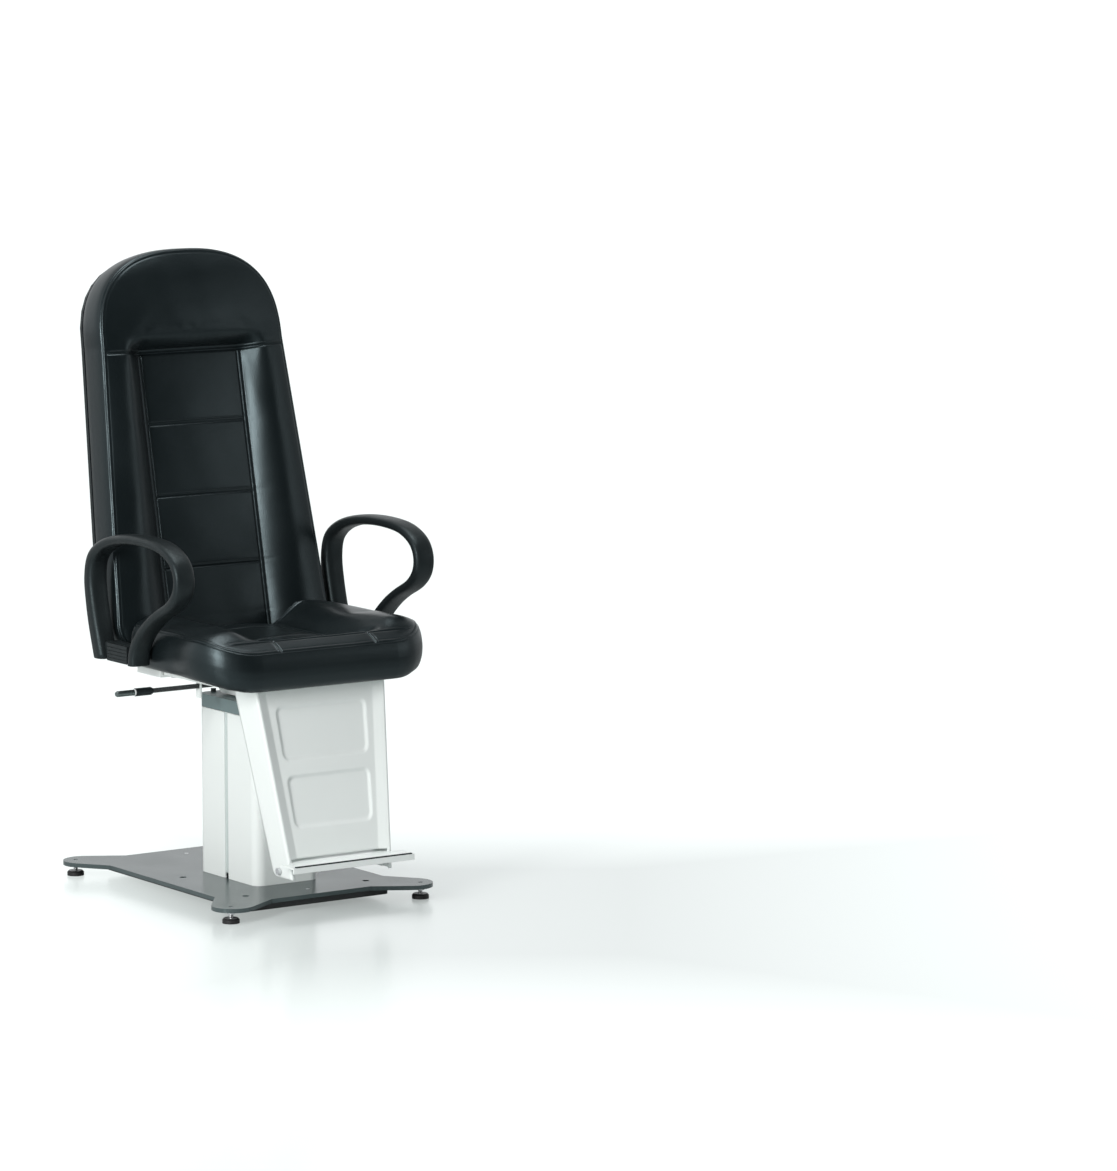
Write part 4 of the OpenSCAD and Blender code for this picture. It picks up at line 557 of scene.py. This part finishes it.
def seat_plan(y):
    """Half width of the seat's rim and of its middle panel, and the rim's height, at y."""
    front = np.clip((ARC_Y - y) / EDGE, 0, 1)
    rear = np.clip((y - REAR_Y) / REAR_R, 0, 1)
    wide = (SEAT_W + (WAIST_W - SEAT_W) * smooth_step((y - ARC_Y) / TAPER)) / 2 - RIM_IN
    half = wide - EDGE * arc_drop(front) - REAR_R * arc_drop(rear)
    panel = PANEL_W / 2 + PANEL_FLARE * smooth_step((BORDER_Y + TAPER - y) / TAPER)
    return half, panel, RIM_Z - FRONT_DROP * front**2


def seat_top(x, y):
    """Height of the seat: side bolsters that rise from the panel's seam to a crest and fall to the
    rim, a middle panel crowned between its seams, and a border across the front."""
    half, panel, rim = (v[:, None] for v in seat_plan(y))
    y = y[:, None]
    t = (np.abs(x) - panel) / (half - panel)
    crest = RIM_Z + CREST_UP
    low = crest - BOLSTER_H
    past = ((t - CREST_SHARE) / (1 - CREST_SHARE)) ** 2
    rise = low + (crest - low) * smooth_step(t / CREST_SHARE)
    bolster = np.where(t < CREST_SHARE, rise, crest + (rim - crest) * past)
    across_it = np.where(t < 0, low + PANEL_CROWN * (1 - (x / panel) ** 2), bolster)
    flat = np.where(t < CREST_SHARE, 1, 1 - past)
    front = rim + BORDER_CROWN * flat * smooth_step((y - RIM_FRONT) / BORDER)
    return front + (across_it - front) * smooth_step((y - BORDER_Y) / BORDER)


def seat_cushion():
    """The seat's cushion with its seams, small gathers beside them and stitches."""
    y = ruled(RIM_FRONT, REAR_Y + REAR_R, 0.0062, (BORDER_Y,) + SEAT_SEAMS)
    half, panel, _ = seat_plan(y)
    steps = 12
    x = across(panel, half, steps, 16)
    grid = np.stack([x, np.broadcast_to(y[:, None], x.shape), seat_top(x, y)], -1)
    line, out, to_rim = plan_of(grid)
    f = np.maximum(0, -out[:, 1]) ** 2
    low = BOARD_Z + 0.0004 - FRONT_SAG * f
    drawn = SIDE_DRAWN + (FRONT_DRAWN - SIDE_DRAWN) * f
    share = np.array([2, 4.5, 8, 13, 19, 26, 34, 42, 50, 58, 66, 74, 82, 89, 95, 100]) / 100
    down, out_by = [0, 0.1, 0.22, 0.45, 0.66, 0.82, 0.92, 1], [0, 0.38, 0.72, 1, 0.85, 0.42, -0.1, -1]
    bulge = np.interp(share, down, out_by)
    loops = []
    for k, b in zip(share, bulge):
        e = np.where(b < 0, b * drawn, b * RIM_IN)
        z = line[:, 2] + (low - line[:, 2]) * k
        loops.append(np.column_stack([line[:, :2] + out * e[:, None], z]))
    for more in (0.005, 0.03):
        under = line[:, :2] - out * (drawn + more)[:, None]
        loops.append(np.column_stack([under, np.full(len(line), CUSHION_Z)]))
    to_panel = np.abs(x) - panel[:, None]
    inside = smooth_step(-to_panel / SEAM_END)
    rows_y = np.broadcast_to(y[:, None], x.shape)
    depth = np.maximum(seam_depth(to_panel), seam_depth(to_rim, RIM_DEEP))
    depth = np.maximum(depth, seam_depth(rows_y - BORDER_Y) * smooth_step((to_rim - 0.012) / 0.01))
    near = np.minimum(np.minimum(np.abs(to_panel), to_rim), np.abs(rows_y - BORDER_Y))
    for place in SEAT_SEAMS:
        depth = np.maximum(depth, seam_depth(rows_y - place) * inside)
        near = np.minimum(near, np.abs(rows_y - place) + 0.03 * (1 - inside))
    sway = 3 * wander(x, y[:, None], 0.08, 4)
    depth = depth + GATHER_DEEP * gathers(to_panel, rows_y, 0.01, GATHER_CLEAR, GATHER_PITCH, sway)
    depth = depth + 0.0006 * wander(x, y[:, None], 0.075, 7)
    thing, top = cushion(
        "seat_cushion_leather", grid, np.array(loops), held_by(near), depth,
        side_depth(share, SIDE_H, 2, len(line)), (0.006, 0.0015), PRESSURE, lambda p: p, "seat_cushion",
    )
    cross = [nearest(y, place + STITCH_OFF) for place in SEAT_SEAMS + (BORDER_Y,)]
    stitches("seat_stitches", seam_lines(top, steps, 2, -2, cross), "seat")
    return thing


# Back cushion

BACK_AT = np.array([0, 0.104, 0.5])
BACK_LEAN = math.radians(11.7)
BACK_UP, BACK_ROUND, BACK_DOWN, FOOT_R, BACK_IN, BACK_T = 0.711, 0.18, 0.046, 0.05, 0.004, 0.072
BACK_W, BACK_TOP_W, BACK_POWER, HEAD_BLEND = 0.472, 0.405, 2.6, 0.034
BACK_PANEL, SUNK, BACK_CROWN, BACK_CREST, HEAD_OUT = 0.106, 0.022, 0.005, 0.01, 0.014
HEAD_SEAM_DEEP, HEAD_SEAM_WIDE = 0.0034, 0.0022
ROUND_FROM = BACK_UP - BACK_ROUND
HEAD_SEAM = BACK_UP - 0.197
BACK_SEAMS = tuple(HEAD_SEAM - i * 0.136 for i in range(1, 4))


def on_back(p):
    """Points from the back's own frame (across, up along it, towards its front) to the chair's."""
    c, s = math.cos(BACK_LEAN), math.sin(BACK_LEAN)
    return BACK_AT + np.column_stack([p[:, 0], -p[:, 2] * c + p[:, 1] * s, p[:, 2] * s + p[:, 1] * c])


def back_half(v):
    """Half width of the back's rim at height v along it: straight tapering sides, a round top that
    is a little squarer than an ellipse, and rounded lower corners."""
    f = np.clip((v - ROUND_FROM) / (BACK_ROUND - BACK_IN), 0, 1)
    b = np.clip((FOOT_R - BACK_DOWN - v) / (FOOT_R - BACK_IN), 0, 1)
    side = (BACK_W + (BACK_TOP_W - BACK_W) * v / ROUND_FROM) / 2 - BACK_IN - (FOOT_R - BACK_IN) * arc_drop(b)
    crown = (BACK_TOP_W / 2 - BACK_IN) * (1 - f**BACK_POWER) ** (1 / BACK_POWER)
    return np.where(v > ROUND_FROM, crown, side)


def back_panel(half):
    """Half width of the back's middle panel where its rim has a half width."""
    return np.minimum(BACK_PANEL, 0.55 * half)


def back_top(x, v):
    """How far the back's face stands out: a sunken middle panel, side bolsters that swell to a crest
    and fall to the rim, and a domed head pad above the head seam."""
    half = back_half(v)[:, None]
    panel = back_panel(half)
    v = v[:, None]
    t = (np.abs(x) - panel) / (half - panel)
    rise = (SUNK + BACK_CREST) * smooth_step(t / 0.5) - SUNK
    side = np.where(t < 0.5, rise, BACK_CREST * (1 - ((t - 0.5) / 0.5) ** 2))
    side = np.where(t < 0, BACK_CROWN * (1 - (x / panel) ** 2) - SUNK, side)
    dome = np.sqrt(np.maximum(0, 1 - (x / half) ** 2))
    top = HEAD_OUT * dome * smooth_step(3 * (BACK_UP - v) / BACK_ROUND)
    return side + (top - side) * smooth_step((v - HEAD_SEAM) / HEAD_BLEND)


def back_cushion():
    """The back's cushion with its head pad, seams, small gathers beside them and stitches."""
    foot = FOOT_R - BACK_DOWN - (FOOT_R - BACK_IN) * np.sin(np.radians([88, 82, 74, 64, 52, 38, 22]))
    rise = np.sin(np.radians(np.linspace(8, 88, 34))) ** (2 / BACK_POWER)
    crown = ROUND_FROM + (BACK_ROUND - BACK_IN) * rise
    v = ruled(0.006, crown[0] - 0.003, 0.0068, (HEAD_SEAM,) + BACK_SEAMS)
    v = np.unique(np.concatenate([foot, v[v > foot.max() + 0.003], crown]))
    half = back_half(v)
    panel = back_panel(half)
    steps = 14
    x = across(panel, half, steps, 16)
    grid = np.stack([x, np.broadcast_to(v[:, None], x.shape), back_top(x, v)], -1)
    line, out, to_rim = plan_of(grid)
    share = np.array([2, 4.5, 8, 13, 20, 28, 37, 46, 55, 64, 73, 82, 90, 96, 100]) / 100
    bulge = np.interp(share, [0, 0.16, 0.3, 0.5, 0.75, 0.9, 1], [0, 0.75, 0.95, 1, 0.8, 0.3, -1])
    loops = [
        np.column_stack([line[:, :2] + out * b * BACK_IN, line[:, 2] * (1 - k) - k * BACK_T])
        for k, b in zip(share, bulge)
    ]
    loops.append(np.column_stack([line[:, :2] - out * 0.03, np.full(len(line), -BACK_T)]))
    to_panel = np.abs(x) - panel[:, None]
    inside = smooth_step(-to_panel / SEAM_END)
    rows_v = np.broadcast_to(v[:, None], x.shape)
    to_head = rows_v - HEAD_SEAM
    under = smooth_step((SEAM_END / 2 - to_head) / SEAM_END)
    depth = np.maximum(seam_depth(to_panel) * under, seam_depth(to_rim, RIM_DEEP))
    bend = 0.0035 * np.clip(-to_panel / 0.1, -1, 0)
    head = seam_depth(to_head + bend, HEAD_SEAM_DEEP, HEAD_SEAM_WIDE) * smooth_step((to_rim - 0.002) / 0.01)
    depth = np.maximum(depth, head)
    near = np.minimum(np.minimum(np.abs(to_panel) + 0.05 * (1 - under), to_rim), np.abs(to_head))
    for place in BACK_SEAMS:
        depth = np.maximum(depth, seam_depth(rows_v - place) * inside)
        near = np.minimum(near, np.abs(rows_v - place) + 0.03 * (1 - inside))
    sway = 3 * wander(x, v[:, None], 0.09, 5)
    depth = depth + GATHER_DEEP * under * gathers(to_panel, rows_v, 0.009, GATHER_CLEAR, GATHER_PITCH, sway)
    depth = depth + 0.0003 * gathers(to_head, x, 0.012, 0.004, 0.016, 4 * wander(x, v[:, None], 0.1, 8))
    depth = depth + 0.0008 * wander(x, v[:, None], 0.09, 11)
    thing, top = cushion(
        "back_cushion_leather", grid, np.array(loops), held_by(near), depth,
        side_depth(share, BACK_T, 1, len(line)), (0.007, 0.001), PRESSURE, on_back, "back_cushion",
    )
    cross = [nearest(v, place + STITCH_OFF) for place in BACK_SEAMS]
    lines = seam_lines(top, steps, 2, nearest(v, HEAD_SEAM), cross)
    lines.insert(2, top[nearest(v, HEAD_SEAM + STITCH_OFF), 8:-8])
    stitches("back_stitches", lines, "seat")
    return thing


# Arms

ARM_LINE = (
    (0.890, 0.000, 1.75), (0.950, 0.252, 1.70), (0.987, 0.466, 1.60), (1.000, 0.637, 1.50),
    (0.969, 0.795, 1.30), (0.865, 0.902, 1.10), (0.702, 0.970, 1.00), (0.489, 1.000, 0.95),
    (0.270, 0.991, 0.95), (0.138, 0.953, 0.95), (0.041, 0.876, 1.00), (0.000, 0.765, 1.05),
    (0.016, 0.645, 1.05), (0.091, 0.543, 1.00), (0.229, 0.449, 0.95), (0.332, 0.363, 0.95),
    (0.433, 0.248, 1.00), (0.498, 0.124, 1.15), (0.514, 0.000, 1.30),
)
ARM_X, ARM_W, ARM_T, ARM_FRONT, ARM_LOW = 0.2605, 0.041, 0.02, -0.181, 0.451
ARM_LEN, ARM_HEIGHT, ARM_FOOT_H, ARM_FOOT_R = 0.32, 0.234, 0.033, 0.004


def arm_loop(side):
    """An arm's loop: a cushioned oblong section carried along a smooth line in the side plane."""
    line = curve_through(ARM_LINE, 7)
    y, z = ARM_FRONT + line[:, 0] * ARM_LEN, ARM_LOW + line[:, 1] * ARM_HEIGHT
    dy, dz = np.gradient(y), np.gradient(z)
    dy[[0, -1]] = 0
    size = np.hypot(dy, dz)
    dy, dz = dy / size, dz / size
    sides, power = 44, 2 / 3
    turn = 2 * np.pi * (np.arange(sides) + 0.5) / sides
    x = np.sign(np.cos(turn)) * np.abs(np.cos(turn)) ** power * ARM_W / 2
    o = np.sign(np.sin(turn)) * np.abs(np.sin(turn)) ** power * ARM_T / 2
    thick = line[:, 2][:, None] * o[None]
    across_it = np.broadcast_to(side * ARM_X + x, thick.shape)
    points = np.stack([across_it, y[:, None] + thick * dz[:, None], z[:, None] - thick * dy[:, None]], -1)
    last = (len(line) - 1) * sides
    faces = grid_faces(len(line), sides, True)[:, ::-1].tolist()
    faces += [list(range(sides)), list(range(last + sides - 1, last - 1, -1))]
    return points, faces


def arm_foot(side):
    """The foot under the loop, between its two ends: an oblong block with rounded edges."""
    out = np.array([0.2402, 0.2425, 0.2665, 0.269])
    inset = np.array([0.0025, 0, 0, 0.0025])
    y0, y1 = (ARM_FRONT + share * ARM_LEN for share in (0.51, 0.86))
    z0, z1 = ARM_LOW, ARM_LOW + ARM_FOOT_H
    corners = np.array([[y0, z0], [y1, z0], [y1, z1], [y0, z1]])
    signs = np.array([[-1, -1], [1, -1], [1, 1], [-1, 1]])
    turn = np.radians(np.arange(0, 91, 15))
    ring = np.concatenate([
        corner + ARM_FOOT_R * (np.column_stack([np.cos(turn + a), np.sin(turn + a)]) - sign)
        for corner, sign, a in zip(corners, signs, (np.pi, 1.5 * np.pi, 0, np.pi / 2))
    ])
    middle = ring.mean(0)
    half = np.array([y1 - y0, z1 - z0]) / 2
    layers = [middle + (ring - middle) * (1 - e / half) for e in inset]
    points = [np.column_stack([np.full(len(q), side * x), q]) for x, q in zip(out, layers)]
    n, rows = len(ring), len(out)
    faces = grid_faces(rows, n, True).tolist()
    faces += [list(range(n - 1, -1, -1)), list(range((rows - 1) * n, rows * n))]
    return np.array(points), faces if side > 0 else [face[::-1] for face in faces]


def arms():
    """Both arms, each a loop and its foot."""
    for name, side in (("left", 1), ("right", -1)):
        loop = piece("arm_%s_loop" % name, *arm_loop(side), ARM_SKIN, "seat", "black_plastic")
        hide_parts("arm_" + name)
        piece("arm_%s_foot" % name, *arm_foot(side), ARM_SKIN, "seat", "black_plastic")


# Footrest

LEG_LEAN = math.radians(11.7)
LEG_Y, LEG_Z, LEG_LEN = 0.234, 0.417, 0.32
LEG_W, LEG_LOW_W, LEG_TOP_Z, STEP_Z = 0.281, 0.224, 0.428, 0.112
LEG_WALL, WALL_LESS, RECESS, SLOPE, CREST_R, FOLD_R = 0.0025, 0.0003, 0.01, 0.027, 0.0042, 0.012
WING, LOW_WING, WING_TAIL = 0.075, 0.062, 0.028
POCKETS, POCKET_WIDE = ((0.40, 0.10), (0.79, 0.50)), 0.7
POCKET_R, POCKET_DEEP, POCKET_EDGE = 0.012, 0.004, 0.0055


def leg_half(down):
    """Half width of the footrest at a distance down along it."""
    return (LEG_W + (LEG_LOW_W - LEG_W) * down / LEG_LEN) / 2


def rounded(corner_in, corner_out, at, radius, steps):
    """Points of a fold of a given radius at a corner between two straight runs."""
    a = np.array(corner_in) / np.linalg.norm(corner_in)
    b = np.array(corner_out) / np.linalg.norm(corner_out)
    turn = math.acos(float(np.clip(a @ b, -1, 1)))
    cut = radius * math.tan(turn / 2)
    middle = (b - a) / np.linalg.norm(b - a)
    centre = np.array(at) + middle * (radius / math.cos(turn / 2))
    start = np.array(at) - a * cut - centre
    side = 1 if a[0] * b[1] - a[1] * b[0] > 0 else -1
    k = np.linspace(0, turn, steps) * side
    return centre + np.column_stack(
        [start[0] * np.cos(k) - start[1] * np.sin(k), start[0] * np.sin(k) + start[1] * np.cos(k)]
    )


def footrest():
    """The footrest: at each height a strip that runs from one wing's rear edge forward to a rounded
    crest, back down a slope to the middle panel, across it and out to the other wing. The panel has
    two fields pressed in with soft rounded edges."""
    slope = np.array([-(SLOPE - LEG_WALL), RECESS])
    crest = rounded((0, -1), slope, (0, 0), CREST_R, 9)
    foot = rounded(slope, (-1, 0), slope, FOLD_R, 7)
    straight = crest[-1] + (foot[0] - crest[-1]) * np.linspace(0, 1, 7)[1:-1, None]
    profile = np.concatenate([crest, straight, foot])
    wing = np.linspace(1, 0, 16)[:-1]
    middle = np.linspace(1, 0, 46)[1:]
    upper = 108
    low = LEG_Z - (LEG_LEN + WING_TAIL) * math.cos(LEG_LEAN)
    heights = np.concatenate([np.linspace(LEG_TOP_Z, STEP_Z, upper), np.linspace(STEP_Z, low, 14)[1:]])
    c, s = math.cos(LEG_LEAN), math.sin(LEG_LEAN)

    def put_at(inset, depth, z, flat):
        """Points at a depth behind the crest's plane; inset is from the wing, flat carries to the middle."""
        down = -((z - LEG_Z) + depth * s) / c
        half = leg_half(down)
        x = np.where(flat > 0, (half + profile[-1, 0]) * (1 - flat), half + inset)
        for low_share, high_share in POCKETS:
            wide = POCKET_WIDE * half
            mid, tall = LEG_LEN * (low_share + high_share) / 2, LEG_LEN * (low_share - high_share) / 2
            qx, qz = np.abs(x) - wide + POCKET_R, np.abs(down - mid) - tall + POCKET_R
            outside = np.hypot(np.maximum(qx, 0), np.maximum(qz, 0))
            far = outside + np.minimum(np.maximum(qx, qz), 0) - POCKET_R
            depth = depth + POCKET_DEEP * smooth_step(0.5 - far / POCKET_EDGE) * (flat > 0)
        y = -LEG_Y + depth * c - down * s
        return np.stack([x, y, z + 0 * x], -1)

    z = heights[:, None]
    start, corner = low + 0.013, 0.012
    rear = LOW_WING + (WING - LOW_WING) * np.clip((z - start) / (LEG_Z - start), 0, 1.1)
    rear = rear - corner * arc_drop(1 - np.clip((z - low) / corner, 0, 1))
    first = crest[0, 1]
    behind = first + (rear - first) * wing
    fold_x, fold_y = (np.broadcast_to(profile[:, k], (len(z), len(profile))) for k in (0, 1))
    across_it = np.broadcast_to(middle, (len(z), len(middle)))
    side = put_at(0, behind, z, 0 * behind)
    fold = put_at(fold_x, fold_y, z, 0 * fold_x)
    panel = put_at(0, RECESS + 0 * across_it, z, 1 - across_it)
    half_strip = np.concatenate([side, fold, panel], 1)
    strip = np.concatenate([half_strip, half_strip[:, -2::-1] * np.array([-1, 1, 1])], 1)
    rows, columns = strip.shape[:2]
    faces = grid_faces(rows, columns)
    keep_to = len(wing) + len(crest)
    row, column = np.divmod(np.arange(len(faces)), columns - 1)
    in_wing = (column < keep_to) | (column >= columns - 1 - keep_to)
    faces = faces[(row < upper - 1) | in_wing]
    used = np.zeros(rows * columns, bool)
    used[faces.ravel()] = True
    renumbered = (np.cumsum(used) - 1)[faces]
    thing = piece("footrest_shell", strip.reshape(-1, 3)[used], renumbered, WHITE, "seat", "white_paint")
    wall = thing.modifiers.new("wall", "SOLIDIFY")
    wall.thickness = LEG_WALL - WALL_LESS
    wall.offset = -1
    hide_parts("footrest_panel")
    return thing


seat_cushion()
back_cushion()
arms()
footrest()


# Room and light


def room():
    """A pale floor that shows the chair's shadow and a faint reflection, and a white surround. To the camera
    the floor glows;
    its glow is lower in a zone beside the chair and rises away from it, a painted shade that makes the floor
    a little greyer there. Reflections see a surround that is dim in front."""
    size = 60
    mesh = bpy.data.meshes.new("floor")
    corners = [(x * size, y * size, 0) for x, y in ((-1, -1), (1, -1), (1, 1), (-1, 1))]
    mesh.from_pydata(corners, [], [(0, 1, 2, 3)])
    floor = bpy.data.objects.new("floor", mesh)
    scene.collection.objects.link(floor)
    material, tree, shader, place = blank("pale_floor")
    mesh.materials.append(material)
    shader.inputs["Base Color"].default_value = rgb(0.6, 0.63, 0.63)
    shader.inputs["Roughness"].default_value = 0.28
    seen = put(tree, "LightPath").outputs["Is Camera Ray"]
    c, s = math.cos(CAMERA_TURN), math.sin(CAMERA_TURN)
    aside, near = (
        put(tree, "VectorMath", {0: place, 1: way}, operation="DOT_PRODUCT").outputs["Value"]
        for way in ((c, s, 0), (s, -c, 0))
    )
    # Painted shade: the floor's glow drops to the lower level in a zone beside the chair and rises to the
    # open level away from it.
    grey, pale = 0.32, 0.62
    level = spread(tree, aside, -0.28, 0.12, 0.6, grey)
    for value, start, end in ((near, 0.6, 1.3), (near, -0.2, -0.7), (aside, 0.7, 1.7)):
        level = calc(tree, "MAXIMUM", level, spread(tree, value, start, end, grey, pale))
    floor_glow_with_painted_shade = put(tree, "Emission", {"Color": rgb(0.93, 1.0, 0.98), "Strength": level})
    less = put(tree, "BsdfPrincipled", {"Base Color": rgb(0.34, 0.36, 0.36), "Roughness": 0.22})
    both = put(tree, "AddShader")
    tree.links.new(floor_glow_with_painted_shade.outputs[0], both.inputs[0])
    tree.links.new(less.outputs[0], both.inputs[1])
    pick = put(tree, "MixShader")
    tree.links.new(seen, pick.inputs[0])
    tree.links.new(shader.outputs[0], pick.inputs[1])
    tree.links.new(both.outputs[0], pick.inputs[2])
    tree.links.new(pick.outputs[0], tree.nodes["Material Output"].inputs["Surface"])
    world = bpy.data.worlds.new("surround")
    scene.world = world
    world.use_nodes = True
    tree = world.node_tree
    path = put(tree, "LightPath")
    glossy = path.outputs["Is Glossy Ray"]
    shown = calc(tree, "MAXIMUM", path.outputs["Is Camera Ray"], path.outputs["Is Transmission Ray"])
    shown = calc(tree, "MAXIMUM", shown, glossy)
    way = put(tree, "SeparateXYZ", {"Vector": put(tree, "TexCoord").outputs["Generated"]})
    behind = spread(tree, way.outputs["Y"], -0.7, 0.3, 0.06, 1.0)
    low = spread(tree, way.outputs["Z"], 0.35, 0.8, 1.0, 0.35)
    drop = calc(tree, "MULTIPLY", calc(tree, "SUBTRACT", 1.0, calc(tree, "MULTIPLY", behind, low)), glossy)
    level = calc(tree, "SUBTRACT", spread(tree, shown, 0, 1, 0.34, 1.0), drop)
    tree.links.new(level, tree.nodes["Background"].inputs["Strength"])
    tree.nodes["Background"].inputs["Color"].default_value = rgb(0.97, 0.99, 1.0)


def lamp(name, at, to, width, height, power, colour=(1, 1, 1)):
    """A soft box that looks at a point."""
    light = bpy.data.lights.new(name, "AREA")
    light.shape = "RECTANGLE"
    light.size = width
    light.size_y = height
    light.energy = power
    light.color = colour
    thing = bpy.data.objects.new(name, light)
    scene.collection.objects.link(thing)
    thing.location = at
    gap = np.array(to) - np.array(at)
    thing.rotation_euler = (
        math.acos(-gap[2] / np.linalg.norm(gap)),
        0,
        math.atan2(gap[1], gap[0]) - math.pi / 2,
    )


room()
lamp("key", (-2.95, -1.4, 1.5), (0, 0, 0.55), 0.7, 1.7, 98, (1, 0.99, 0.98))
lamp("fill", (2.6, -2.6, 1.4), (0, 0, 0.5), 1.6, 1.6, 9)
lamp("top", (0.1, -0.1, 3.2), (0, 0, 0.6), 1.3, 1.3, 42)
